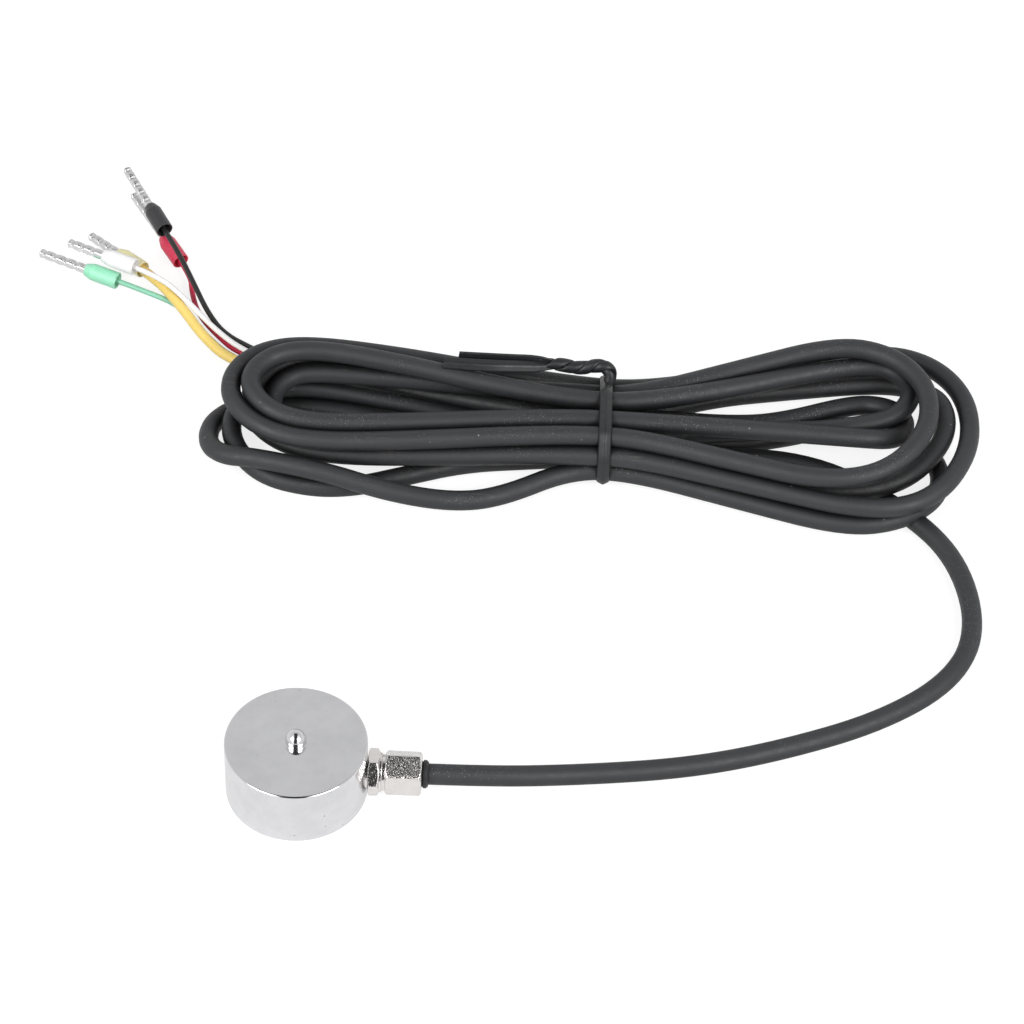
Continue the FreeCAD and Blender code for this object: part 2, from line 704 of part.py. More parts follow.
def make_cable_hank():
    """Outer form of the tied hank: low at the tie, two open eyes, grooves for the tie and the lead."""
    height = dim.hank_height.value
    block = Part.Face(hank_outline()).extrude(Vector(0, 0, height))
    top_edges = [edge for edge in block.Edges if edge.BoundBox.ZMin > height / 2]
    block = block.makeFillet(dim.hank_top_round.value, top_edges)
    base_edges = [edge for edge in block.Edges if edge.BoundBox.ZMax < height / 4]
    block = block.makeFillet(dim.hank_base_round.value, base_edges)
    saddle_radius = dim.hank_saddle_radius.value
    saddle_width = 2 * dim.hank_right_width.value
    saddle_foot = Vector(dim.hank_x.value, dim.hank_y.value - saddle_width / 2,
                         dim.hank_waist_height.value + saddle_radius)
    saddle = Part.makeCylinder(saddle_radius, saddle_width, saddle_foot, Vector(0, 1, 0))
    eyes = []
    for side in (-1, 1):
        centre = Vector(dim.hank_x.value + side * dim.eye_distance.value,
                        dim.hank_y.value + dim.eye_shift.value,
                        height - dim.eye_depth.value)
        ellipse = Part.Ellipse(centre, dim.eye_length.value / 2, dim.eye_width.value / 2)
        eye = Part.Face(Part.Wire(ellipse.toShape()))
        eyes.append(eye.extrude(Vector(0, 0, 2 * dim.eye_depth.value)))
    groove_width = dim.tie_width.value + 2 * dim.tie_clearance.value
    groove_depth = dim.tie_thickness.value + 2 * dim.tie_clearance.value
    groove = Part.makeBox(groove_width, saddle_width, groove_depth,
                          Vector(dim.hank_x.value - groove_width / 2,
                                 dim.hank_y.value - saddle_width / 2, 0))
    shoulders = [
        bundle_shoulder(1, dim.back_shoulder_start.value, dim.back_shoulder_drop.value),
        bundle_shoulder(-1, dim.front_shoulder_start.value, dim.front_shoulder_drop.value),
    ]
    hank = block.cut(saddle)
    for tool in shoulders + eyes + [groove, lead_slot()]:
        hank = hank.cut(tool)
    return keep(shaped("cable_hank", hank), "cable_hank")


def tie_outline():
    """Inside of the tie's loop round the bundle."""
    half = dim.hank_waist.value / 2 + dim.tie_clearance.value
    base = dim.tie_clearance.value + dim.tie_thickness.value
    top = dim.hank_waist_height.value + dim.tie_clearance.value
    corners = [
        (-half, base),
        (half, base),
        (half, top - dim.back_shoulder_drop.value),
        (dim.back_shoulder_start.value, top),
        (-dim.front_shoulder_start.value, top),
        (-half, top - dim.front_shoulder_drop.value),
    ]
    side = dim.hank_x.value - dim.tie_width.value / 2
    points = [Vector(side, dim.hank_y.value + across, height) for across, height in corners]
    return Part.Face(Part.makePolygon(points + points[:1]))


def make_hank_tie():
    """Strip round the waist, its twisted pair and its two free ends."""
    inner = tie_outline()
    outer = inner.makeOffset2D(dim.tie_thickness.value)
    along = Vector(dim.tie_width.value, 0, 0)
    band = outer.extrude(along).cut(inner.extrude(along))
    pieces = [cord_solid(vectors(TWIST_ROUTE), dim.twist_diameter.value, "hank_tie twist")]
    for route in TAIL_ROUTES:
        pieces.append(cord_solid(vectors(route), dim.tail_diameter.value, "hank_tie tail"))
    keep(shaped("hank_tie", band.multiFuse(pieces).removeSplitter()), "hank_tie")


# Wires and their ferrules


def make_wires(hank):
    for colour, route in WIRE_ROUTES.items():
        diameter = dim.screen_diameter if colour == "yellow" else dim.wire_diameter
        name = f"wire_{colour}"
        tube = shaped(f"{name}_tube", cord_solid(vectors(route), diameter.value, name))
        keep(difference(name, tube, hank), name)


def ferrule_place(route):
    """Places a ferrule on the last run of a wire's route, its back towards the wire."""
    before, end = vectors(route)[-2:]
    direction = (end - before).normalize()
    return Placement(end - direction * dim.wire_depth.value, Rotation(Vector(0, 0, 1), direction))


def make_collar(colour, place):
    body = new_body(f"ferrule_collar_{colour}")
    outside = dim.collar_diameter / 2
    bore = dim.collar_bore / 2
    half_pin = dim.pin_width / 2
    pin_hole = half_pin.diagonal(half_pin - dim.pin_corner) + dim.pin_clearance
    cone_start = dim.collar_length - dim.collar_cone_length
    corners = [
        (dim.funnel_diameter / 2, ZERO),
        (outside, ZERO),
        (outside, cone_start),
        (dim.collar_nose_diameter / 2, dim.collar_length),
        (pin_hole, dim.collar_length),
        (pin_hole, dim.wire_depth),
        (bore, dim.wire_depth),
        (bore, dim.funnel_length),
    ]
    revolve(body, f"collar_{colour}", corners)
    body.Placement = place
    keep(body, f"ferrule_collar_{colour}")


def make_pin(colour, place, reach):
    """Crimped pin: a bar with broken corners, notched on two faces."""
    body = new_body(f"ferrule_pin_{colour}")
    half = dim.pin_width / 2
    flat = half - dim.pin_corner
    section = new_sketch(body, f"pin_section_{colour}", "XY_Plane", dim.wire_depth)
    draw_outline(section, [
        (flat, -half), (half, -flat), (half, flat), (flat, half),
        (-flat, half), (-half, flat), (-half, -flat), (-flat, -half),
    ])
    bar = body.newObject("PartDesign::Pad", f"pin_bar_{colour}")
    bar.Profile = section
    bind(bar, Length=dim.collar_length - dim.wire_depth + reach)
    tip = dim.collar_length + reach
    notch_top = tip - dim.crimp_start
    notch_base = notch_top - dim.crimp_width
    floor = half - dim.crimp_depth
    notches = []
    for side, sign in (("upper", 1), ("lower", -1)):
        profile = new_sketch(body, f"notch_profile_{side}_{colour}", "XZ_Plane")
        corners = [(floor, notch_base), (half, notch_base), (half, notch_top), (floor, notch_top)]
        draw_outline(profile, [(x * sign, z) for x, z in corners])
        notch = pocket(body, f"notch_{side}_{colour}", profile)
        notch.Midplane = True
        notches.append(notch)
    row = body.newObject("PartDesign::LinearPattern", f"crimps_{colour}")
    row.Originals = notches
    row.Direction = (origin_feature(body, "Z_Axis"), [""])
    row.Reversed = True
    row.setExpression("Length", (dim.crimp_pitch * (dim.crimp_count - 1)).text)
    row.setExpression("Occurrences", dim.crimp_count.text)
    body.Tip = row
    body.Placement = place
    keep(body, f"ferrule_pin_{colour}")


def make_ferrules():
    for colour, route in WIRE_ROUTES.items():
        place = ferrule_place(route)
        make_collar(colour, place)
        make_pin(colour, place, getattr(dim, f"pin_reach_{colour}"))


def build():
    make_load_cell_body()
    make_base_cover()
    make_strain_gauges()
    board = make_terminal_board()
    make_trim_resistors()
    make_inner_leads(board)
    make_gland_body()
    make_gland_nut()
    make_gland_seal()
    make_cable_lead()
    hank = make_cable_hank()
    make_hank_tie()
    make_wires(hank)
    make_ferrules()
    doc.recompute()


def check_and_write():
    for feature in doc.Objects:
        if "Invalid" in feature.State or "Error" in feature.State:
            raise ValueError(f"{feature.Label} failed: {feature.State}")
    for feature in subparts:
        if feature.Shape.isNull() or not feature.Shape.isValid():
            raise ValueError(f"{feature.Label} has no valid shape")
    os.makedirs("parts", exist_ok=True)
    for feature in subparts:
        feature.Shape.exportStep(f"parts/{feature.Label}.step")


build()
check_and_write()
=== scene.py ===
import math

import bpy
import numpy as np
from bpy.props import FloatProperty, FloatVectorProperty, IntProperty, PointerProperty
from bpy.types import Operator, Panel, PropertyGroup
from mathutils import Matrix, Vector


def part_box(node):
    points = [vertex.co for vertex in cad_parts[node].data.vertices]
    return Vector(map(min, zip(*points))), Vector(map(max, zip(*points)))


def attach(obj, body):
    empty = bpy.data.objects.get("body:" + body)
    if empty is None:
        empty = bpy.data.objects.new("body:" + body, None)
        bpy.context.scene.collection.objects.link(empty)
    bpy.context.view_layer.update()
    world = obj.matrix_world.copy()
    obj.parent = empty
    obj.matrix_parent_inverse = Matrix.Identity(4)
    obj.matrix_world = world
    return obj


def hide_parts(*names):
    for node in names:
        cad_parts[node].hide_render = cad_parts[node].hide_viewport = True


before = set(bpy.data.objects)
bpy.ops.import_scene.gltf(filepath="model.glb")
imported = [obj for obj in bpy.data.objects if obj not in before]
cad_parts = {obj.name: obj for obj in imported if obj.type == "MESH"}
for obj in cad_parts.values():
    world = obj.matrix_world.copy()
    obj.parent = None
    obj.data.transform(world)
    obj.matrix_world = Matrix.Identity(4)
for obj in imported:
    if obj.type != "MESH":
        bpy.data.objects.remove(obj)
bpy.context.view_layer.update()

bl_info = {
    "name": "Button load cell",
    "version": (1, 0, 0),
    "blender": (4, 5, 0),
    "location": "3D View > Sidebar > Load cell",
    "description": "Miniature button load cell with its gland, tied cable and ferruled wires",
    "category": "Object",
}

MM = 0.001

# Routes, in millimetres

LEAD_ROUTE = [
    (12.0, 0.0, 3.8),
    (26.0, 0.0, 3.8),
    (39.5, 2.4, 2.2),
    (54.4, 5.0, 1.55),
    (67.2, 8.7, 1.55),
    (82.2, 15.1, 1.55),
    (93.0, 23.6, 1.55),
    (97.0, 33.9, 1.55),
    (94.5, 47.6, 1.55),
    (86.8, 57.1, 1.55),
]
# The lead's last stretch into the tie, and the cable's last stretch from the tie to its far end
HANK_ENTRY = [(74.0, 66.2, 1.55), (58.0, 66.8, 1.8)]
HANK_EXIT = [(26.0, 72.6, 4.2), (9.0, 78.4, 1.8), (0.5, 80.8, 1.55), (-9.0, 81.3, 1.5)]

WIRE_ROUTES = {
    "black": [
        (-8.6, 81.9, 2.1),
        (-13.1, 85.2, 1.45),
        (-17.7, 88.6, 0.95),
        (-20.6, 92.7, 1.4),
        (-23.1, 97.3, 3.0),
        (-26.15, 103.24, 4.37),
        (-30.1, 110.15, 4.9),
    ],
    "white": [
        (-9.2, 81.0, 2.4),
        (-14.4, 84.0, 2.1),
        (-19.1, 88.6, 1.8),
        (-24.2, 93.9, 3.1),
        (-28.63, 97.71, 4.1),
        (-35.29, 100.42, 4.36),
    ],
    "red": [
        (-8.6, 82.0, 1.0),
        (-14.9, 84.4, 0.6),
        (-19.1, 88.9, 0.56),
        (-22.2, 93.2, 0.56),
        (-23.6, 97.8, 0.75),
        (-24.0, 101.2, 1.1),
        (-27.5, 106.5, 1.75),
    ],
    "green": [
        (-9.1, 81.1, 0.6),
        (-15.7, 83.4, 0.54),
        (-20.6, 88.5, 0.54),
        (-24.8, 94.7, 0.54),
        (-30.63, 97.25, 1.0),
        (-38.13, 100.04, 1.56),
    ],
    "yellow": [
        (-9.8, 80.1, 1.45),
        (-16.2, 82.3, 1.3),
        (-21.0, 87.5, 1.5),
        (-24.6, 92.8, 2.2),
        (-29.33, 99.6, 1.75),
        (-33.89, 103.5, 1.47),
    ],
}

# Where each strand goes through the tie: across, height
TIE_SLOTS = {
    "floor_front": (61.3, 2.5),
    "floor_second": (64.7, 2.45),
    "floor_third": (67.2, 2.4),
    "floor_fourth": (69.9, 2.4),
    "floor_fifth": (72.6, 2.4),
    "floor_back": (75.3, 2.5),
    "middle_front": (60.9, 5.2),
    "middle_second": (65.3, 5.1),
    "middle_third": (69.6, 5.0),
    "middle_back": (73.6, 5.0),
    "top_front": (62.6, 7.1),
    "top_middle": (66.8, 7.5),
    "top_back": (70.8, 7.2),
}
# Loops of the hank in the order that the cable makes them, left and right of the tie in turn.
# Each has its side, its slots at the back and the front, its reach from the tie, the places across of its
# tip, back and front, the shares of the reach where its back and its front begin to round into the tip,
# and its heights at the back, the tip and the front.
HANK_LOOPS = [
    (-1, "floor_third", "floor_front", 58.2, (65.8, 73.9, 59.4), (0.87, 0.88), (1.55, 2.0, 3.8)),
    (1, "floor_fourth", "floor_front", 50.6, (62.4, 74.6, 51.9), (0.74, 0.72), (1.55, 1.6, 1.55)),
    (-1, "floor_fourth", "floor_second", 56.8, (66.6, 75.6, 56.2), (0.78, 0.78), (3.3, 3.4, 1.55)),
    (1, "floor_fifth", "floor_second", 51.6, (74.2, 81.4, 57.6), (0.79, 0.67), (3.8, 5.2, 4.0)),
    (-1, "floor_fifth", "middle_front", 54.3, (68.7, 79.0, 59.3), (0.76, 0.74), (4.4, 4.0, 4.0)),
    (1, "floor_back", "middle_front", 55.3, (72.2, 85.8, 52.2), (0.76, 0.72), (3.9, 4.2, 4.2)),
    (-1, "floor_back", "top_front", 56.3, (69.4, 77.3, 59.2), (0.80, 0.74), (6.4, 6.4, 5.9)),
    (1, "middle_back", "top_front", 48.6, (70.4, 82.5, 55.0), (0.72, 0.68), (9.0, 9.2, 7.6)),
    (-1, "middle_back", "middle_second", 50.8, (69.0, 74.8, 62.8), (0.89, 0.88), (6.2, 5.8, 4.4)),
    (1, "top_back", "middle_second", 47.2, (75.2, 81.4, 69.0), (0.85, 0.87), (6.8, 6.6, 5.2)),
    (-1, "top_back", "top_middle", 54.2, (70.0, 77.3, 62.4), (0.80, 0.80), (9.1, 9.0, 7.8)),
    (1, "middle_third", "top_middle", 44.6, (72.0, 77.6, 66.5), (0.84, 0.86), (2.2, 5.0, 7.3)),
]
# Runs that don't go straight from the tie, by loop, nearest the tie first: share of the reach, across, height
LOOP_RUNS = {
    0: {"back": [(0.25, 68.3, 2.2), (0.50, 70.6, 1.9), (0.70, 73.5, 1.7)],
        "front": [(0.25, 55.8, 1.6), (0.37, 54.3, 1.55), (0.53, 54.9, 2.4), (0.70, 57.2, 3.8)]},
    1: {"back": [(0.20, 68.9, 1.8), (0.45, 69.2, 1.6)]},
    2: {"front": [(0.19, 64.2, 2.0), (0.37, 63.0, 1.7), (0.53, 59.6, 1.6), (0.66, 56.8, 1.55)]},
    3: {"back": [(0.30, 77.1, 3.0), (0.52, 79.3, 3.3)]},
    9: {"front": [(0.28, 66.4, 5.1), (0.52, 67.2, 5.2), (0.70, 67.4, 5.2)]},
    11: {"back": [(0.19, 70.0, 4.6), (0.40, 71.4, 2.5), (0.58, 72.9, 1.8)]},
}
# Control points round a loop's tip, in degrees, and how far outside the round they stand
TIP_TURNS = (90, 54, 18, -18, -54, -90)
TIP_OUTSET = 1 / math.cos(math.radians(18))

# The tie's twisted pair and its two tails, with the way that each tail's ridge faces
TWIST_ROUTE = [(42.0, 74.6, 7.2), (42.6, 75.6, 9.0), (41.0, 76.5, 10.0), (37.6, 76.3, 9.0), (34.4, 76.5, 9.7),
               (31.2, 76.2, 10.0)]
TAIL_ROUTES = [
    [(35.0, 76.6, 9.7), (31.2, 77.0, 10.3), (27.0, 76.7, 10.5), (19.2, 76.2, 11.1)],
    [(35.0, 76.3, 9.4), (31.2, 75.6, 9.7), (27.8, 74.8, 10.4), (23.4, 73.9, 11.1), (17.0, 74.1, 11.2)],
]
TAIL_UPS = [(0.0, -0.96, -0.28), (0.0, -0.5, 0.86)]


def srgb(red, green, blue):
    """Linear colour of a display colour given in steps of 255."""
    def linear(step):
        share = step / 255
        return share / 12.92 if share <= 0.04045 else ((share + 0.055) / 1.055) ** 2.4
    return tuple(linear(step) for step in (red, green, blue))


def length(name, millimetres, note):
    return FloatProperty(name=name, description=note, default=millimetres * MM, min=0.0, unit="LENGTH",
                         precision=5)


def degrees(name, turn, note):
    return FloatProperty(name=name, description=note, default=math.radians(turn), subtype="ANGLE")


def plain(name, value, note):
    return FloatProperty(name=name, description=note, default=value)


def colour(name, value, note):
    return FloatVectorProperty(name=name, description=note, default=value, size=3, subtype="COLOR",
                               min=0.0, max=1.0)


BODY_LOW, BODY_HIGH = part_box("load_cell_body")


class BodySizes(PropertyGroup):
    """Turned body and its load button"""
    diameter: length("Body diameter", (BODY_HIGH.x - BODY_LOW.x) / MM, "Outside of the turned body")
    height: length("Body height", 9.6, "Base to lid")
    wall: length("Wall", 1.8, "Wall round the cavity")
    edge: length("Edge", 0.24, "Rounding of the body's lower and upper edge")
    diaphragm: length("Diaphragm", 1.1, "Lid over the cavity")
    boss_diameter: length("Boss diameter", 4.4, "Rigid centre under the lid")
    boss_depth: length("Boss depth", 1.2, "Rigid centre below the diaphragm")
    button_diameter: length("Button diameter", 3.0, "Load button")
    button_shank: length("Button shank", 0.55, "Straight part of the load button")
    button_root: length("Button root", 0.1, "Rounding where the button stands on the lid")
    boss_edge: length("Boss edge", 0.1, "Rounding of the boss's lower edge")
    boss_root: length("Boss root", 0.2, "Rounding between boss and diaphragm")
    wall_root: length("Wall root", 0.3, "Rounding between wall and diaphragm")
    recess_edge: length("Recess edge", 0.08, "Rounding of the recess's mouth")
    cover_diameter: length("Cover recess", 17.48, "Recess for the base cover")
    cover_thickness: length("Cover depth", 1.2, "Depth of that recess")


class GlandSizes(PropertyGroup):
    """Cable gland"""
    axis: length("Axis height", 3.8, "Gland axis above the base")
    root: length("Root", 9.2, "Gland's hidden end, inside the body's wall")
    hex_start: length("Hexagon start", 10.05, "Hexagon's face towards the body, from the body axis")
    hex_width: length("Hexagon", 5.9, "Gland hexagon across flats")
    hex_end: length("Hexagon end", 11.65, "Hexagon's outer end from the body axis")
    hex_turn: degrees("Hexagon turn", 18.5, "Turn of the gland hexagon")
    seat_step: length("Seat step", 0.5, "Neck's radius over that of the stub in the body's wall")
    neck_diameter: length("Neck diameter", 5.6, "Round neck between hexagon and nut")
    neck_overlap: length("Neck overlap", 0.2, "Neck's hidden ends inside hexagon and nut")
    shoulder: length("Shoulder", 0.3, "Full-width start of the neck")
    groove: length("Groove", 0.22, "Depth of the groove behind the shoulder")
    nut_start: length("Nut start", 12.45, "Nut's inner end from the body axis")
    nut_end: length("Nut end", 17.55, "Nut's outer end from the body axis")
    nut_width: length("Nut", 5.7, "Clamping nut across flats")
    nut_turn: degrees("Nut turn", 51.5, "Turn of the clamping nut")
    chamfer: length("Chamfer", 0.3, "Broken ends of the hexagons")
    lip_diameter: length("Seal lip", 4.0, "Rubber lip round the cable")
    lip_end: length("Seal end", 18.48, "End of the rubber lip from the body axis")
    lip_step: length("Seal step", 0.25, "Lip's radius over that of the sleeve in the nut")
    lip_inside: length("Seal inside", 0.6, "Sleeve inside the nut")
    bore: length("Bore", 3.0, "Hole for the cable")


class CableSizes(PropertyGroup):
    """Cable and its hank"""
    diameter: length("Cable diameter", 3.0, "Outside of the jacket")
    tie_at: length("Tie", 41.7, "Tie's place along the bench")
    slot_reach: length("Slot reach", 4.5, "Straight stretch of each strand on either side of the tie")
    bend: length("Tightest bend", 6.4, "Radius that the cable's stiffness allows")
    rounds: IntProperty(name="Settling rounds", default=120, min=1,
                        description="Rounds in which the strands come to rest on each other")


class TieSizes(PropertyGroup):
    """Twist tie"""
    width: length("Strip width", 1.9, "Flat strip")
    thickness: length("Strip thickness", 0.3, "Strip at its edges")
    ridge: length("Ridge", 0.36, "Height of the ridge over the tie's wire")
    ridge_width: length("Ridge width", 0.55, "Half width of that ridge")
    twist: length("Twist radius", 0.58, "Each strip's middle from the middle of the twisted pair")
    turns: plain("Turns", 2.75, "Turns of the twisted pair")


class WireSizes(PropertyGroup):
    """Wires and ferrules"""
    diameter: length("Wire diameter", 0.85, "Insulated wire")
    screen_diameter: length("Screen diameter", 1.6, "Sleeved screen wire")
    collar_diameter: length("Collar diameter", 2.7, "Ferrule collar")
    collar_length: length("Collar length", 5.6, "Ferrule collar")
    cone: length("Collar cone", 1.3, "Narrowing front of the collar")
    nose: length("Collar nose", 1.9, "Front of the collar")
    bore: length("Collar bore", 2.0, "Wire side of the collar")
    funnel: length("Collar funnel", 2.34, "Open back of the collar")
    depth: length("Wire depth", 3.0, "Wire inside the collar")
    pin_width: length("Pin width", 1.25, "Crimped pin across flats")
    crimp_pitch: length("Crimp pitch", 1.8, "Crimp notches along the pin")
    crimp_depth: length("Crimp depth", 0.15, "Crimp notch")
    first_crimp: length("First crimp", 0.9, "Middle of the last notch from the pin's tip")
    tooth_pitch: length("Tooth pitch", 0.3, "Fine teeth along the pin")
    tooth_depth: length("Tooth depth", 0.012, "Half depth of those teeth")
    pin_tip: length("Pin tip", 0.35, "Rounded tip of the pin")


class FinishColours(PropertyGroup):
    """Colours of the finishes"""
    steel: colour("Steel", srgb(222, 222, 224), "Polished stainless steel")
    nickel: colour("Nickel", srgb(234, 230, 228), "Nickel plate of the gland")
    rubber: colour("Seal rubber", srgb(34, 34, 35), "Seal in the gland")
    jacket: colour("Jacket", srgb(42, 43, 45), "Cable jacket")
    tie: colour("Tie", srgb(31, 32, 34), "Plastic of the twist tie")
    tin: colour("Tin", srgb(232, 232, 232), "Tinned copper pins")
    gauge: colour("Gauge", srgb(206, 150, 92), "Foil of the strain gauges")
    board: colour("Board", srgb(38, 98, 58), "Laminate of the terminal board")
    resistor: colour("Resistor", srgb(30, 30, 32), "Body of the trim resistors")
    wire_black: colour("Black wire", srgb(36, 36, 37), "Insulation of the black wire")
    wire_white: colour("White wire", srgb(246, 245, 245), "Insulation of the white wire")
    wire_red: colour("Red wire", srgb(206, 38, 74), "Insulation of the red wire")
    wire_green: colour("Green wire", srgb(138, 204, 174), "Insulation of the green wire")
    wire_yellow: colour("Yellow wire", srgb(250, 218, 122), "Sleeve of the screen wire")
    collar_black: colour("Black collar", srgb(52, 52, 54), "Collar of the black wire")
    collar_white: colour("White collar", srgb(249, 248, 248), "Collar of the white wire")
    collar_red: colour("Red collar", srgb(220, 62, 92), "Collar of the red wire")
    collar_green: colour("Green collar", srgb(160, 232, 196), "Collar of the green wire")
    collar_yellow: colour("Yellow collar", srgb(255, 240, 186), "Collar of the yellow wire")


class StageSizes(PropertyGroup):
    """Bench, light and camera"""
    bench: length("Bench", 3000.0, "Side of the white bench")
    lens: plain("Lens", 140.6, "Focal length in millimetres")
    camera: FloatVectorProperty(name="Camera", description="Camera's place", size=3, unit="LENGTH",
                                default=(0.03127, -0.35442, 0.43747))
    azimuth: degrees("Azimuth", 0.414, "Camera's turn round the object")
    elevation: degrees("Elevation", 46.94, "Camera's height over the bench, as an angle")
    roll: degrees("Roll", 2.231, "Camera's turn about its own line of sight")
    lamp_side: length("Lamp side", 450.0, "Side of each lamp in front")
    lamp: FloatVectorProperty(name="Lamp", description="Right lamp's place, mirrored for the left one",
                              size=3, unit="LENGTH", default=(0.52, -0.46, 0.54))
    aim: FloatVectorProperty(name="Aim", description="Where the lamps point", size=3, unit="LENGTH",
                             default=(0.04, 0.05, 0.0))
    key_power: FloatProperty(name="Key light", description="Power of each lamp in front", default=4.6,
                             subtype="POWER")


# Meshes


def new_piece(name, vertices, faces, finish, sharp=40):
    """Mesh object on the body named root, smooth but for its sharp edges."""
    mesh = bpy.data.meshes.new(name)
    mesh.from_pydata([tuple(v) for v in vertices], [], faces)
    mesh.validate()
    mesh.shade_smooth()
    mesh.set_sharp_from_angle(angle=math.radians(sharp))
    mesh.materials.append(finish)
    piece = bpy.data.objects.new(name, mesh)
    bpy.context.scene.collection.objects.link(piece)
    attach(piece, "root")
    return piece


def join_shapes(shapes):
    """One list of vertices and faces out of several."""
    vertices, faces = [], []
    for more_vertices, more_faces in shapes:
        first = len(vertices)
        vertices += list(more_vertices)
        faces += [tuple(first + index for index in face) for face in more_faces]
    return vertices, faces


def rounded(corners, steps=6, hold=0.25):
    """Profile with its corners rounded. Each corner is a place, a place and the radius it gets.
    Beside each rounding stands a point that keeps the neighbouring face flat."""
    profile = []
    for number, (across, along, radius) in enumerate(corners):
        corner = Vector((across, along))
        if not radius:
            profile.append(corner)
            continue
        before = Vector(corners[number - 1][:2]) - corner
        after = Vector(corners[(number + 1) % len(corners)][:2]) - corner
        half = before.angle(after) / 2
        reach = radius / math.tan(half)
        middle = (before.normalized() + after.normalized()).normalized()
        centre = corner + middle * (radius / math.sin(half))
        start = corner + before.normalized() * reach
        end = corner + after.normalized() * reach
        margin = hold * radius
        if before.length > reach + 2 * margin:
            profile.append(start + before.normalized() * margin)
        for step in range(steps + 1):
            chord = start.lerp(end, step / steps) - centre
            profile.append(centre + chord.normalized() * radius)
        if after.length > reach + 2 * margin:
            profile.append(end + after.normalized() * margin)
    return profile


def rings_to_faces(rings, closed):
    """Faces between rings of vertex numbers. A ring of one number is a pole."""
    faces = []
    pairs = list(zip(rings, rings[1:]))
    if closed:
        pairs.append((rings[-1], rings[0]))
    for lower, upper in pairs:
        count = max(len(lower), len(upper))
        for step in range(count):
            following = (step + 1) % count
            if len(lower) == 1:
                faces.append((lower[0], upper[following], upper[step]))
            elif len(upper) == 1:
                faces.append((lower[step], lower[following], upper[0]))
            else:
                faces.append((lower[step], lower[following], upper[following], upper[step]))
    return faces


def lathe(profile, segments, place, closed=False):
    """Turns a profile of radius and height about the place's own Z axis."""
    vertices, rings = [], []
    for radius, height in profile:
        ring = []
        if radius < 1e-9:
            ring.append(len(vertices))
            vertices.append(place @ Vector((0, 0, height)))
        else:
            for step in range(segments):
                turn = 2 * math.pi * step / segments
                ring.append(len(vertices))
                vertices.append(place @ Vector((radius * math.cos(turn), radius * math.sin(turn), height)))
        rings.append(ring)
    return vertices, rings_to_faces(rings, closed)


# Hexagons: sharpness of their corners and of their chamfers' edges, a chamfer's outer limit in corner radii,
# the end face's step inside the flats, and a chamfer's length in depths
HEX_SOFTNESS = 46
END_SOFTNESS = 70
CORNER_ROOM = 1.06
FACE_STEP = 0.1 * MM
CHAMFER_RUN = 1.5


def hexagon_radius(turn, half_width):
    """Radius of a hexagon with slightly rounded corners."""
    total = 0.0
    for side in range(6):
        reach = math.cos(turn - side * math.pi / 3)
        if reach > 0:
            total += reach ** HEX_SOFTNESS
    return half_width / total ** (1 / HEX_SOFTNESS)


def hexagon_bar(sections, width, turn, place, segments=360):
    """Hexagon bar cut back by a turned limit. Each section is a height and that limit."""
    vertices, rings = [], []
    for height, limit in sections:
        ring = []
        for step in range(segments):
            angle = 2 * math.pi * step / segments
            radius = hexagon_radius(angle - turn - math.pi / 6, width / 2)
            radius = (radius ** -END_SOFTNESS + limit ** -END_SOFTNESS) ** (-1 / END_SOFTNESS)
            ring.append(len(vertices))
            vertices.append(place @ Vector((radius * math.cos(angle), radius * math.sin(angle), height)))
        rings.append(ring)
    return vertices, rings_to_faces(rings, True)


def chamfered_end(height, outward, width, chamfer, steps=12):
    """Heights and limits along one chamfered end of a hexagon, from the bar's end face inwards."""
    corner = width / math.sqrt(3) * CORNER_ROOM
    face = width / 2 - FACE_STEP
    run = chamfer * CHAMFER_RUN
    shares = [step / steps for step in range(steps + 1)]
    return [(height - outward * run * share, face + (corner - face) * share) for share in shares]


def unit(vector):
    return vector / np.linalg.norm(vector)


def spline_weights(count, steps):
    """Weights of the control points of a quadratic spline, open at both ends, at even steps along it."""
    rows = []
    for span in range(count - 2):
        for step in range(steps):
            t = step / steps
            row = np.zeros(count)
            for index, weight in ((span, (1 - t) ** 2), (span + 2, t * t)):
                at_end = index in (0, count - 1)
                row[index] += weight if at_end else weight / 2
                row[span + 1] += 0 if at_end else weight / 2
            row[span + 1] += 2 * t * (1 - t)
            rows.append(row)
    rows.append(np.eye(count)[-1])
    return np.array(rows)


def smooth_line(points, steps=8):
    """Points along the quadratic spline of a route."""
    points = np.array(points, float)
    return spline_weights(len(points), steps) @ points


def sweep(line, ups, section, closed=False, sizes=None):
    """Carries a closed section along a line.
    Each up is the section's second axis there, and each size its scale."""
    line = np.array(line, float)
    count = len(line)
    vertices, rings = [], []
    for number in range(count):
        before = line[number - 1] if closed or number else line[0]
        after = line[(number + 1) % count] if closed or number < count - 1 else line[-1]
        along = unit(after - before)
        up = np.array(ups[number], float)
        up = unit(up - along * np.dot(up, along))
        across = np.cross(along, up)
        scale = sizes[number] if sizes else 1
        ring = []
        for width, height in section:
            ring.append(len(vertices))
            vertices.append(Vector(line[number] + scale * (across * width + up * height)))
        rings.append(ring)
    faces = rings_to_faces(rings, closed)
    if not closed:
        faces.append(tuple(reversed(rings[0])))
        faces.append(tuple(rings[-1]))
    return vertices, faces


# Finishes


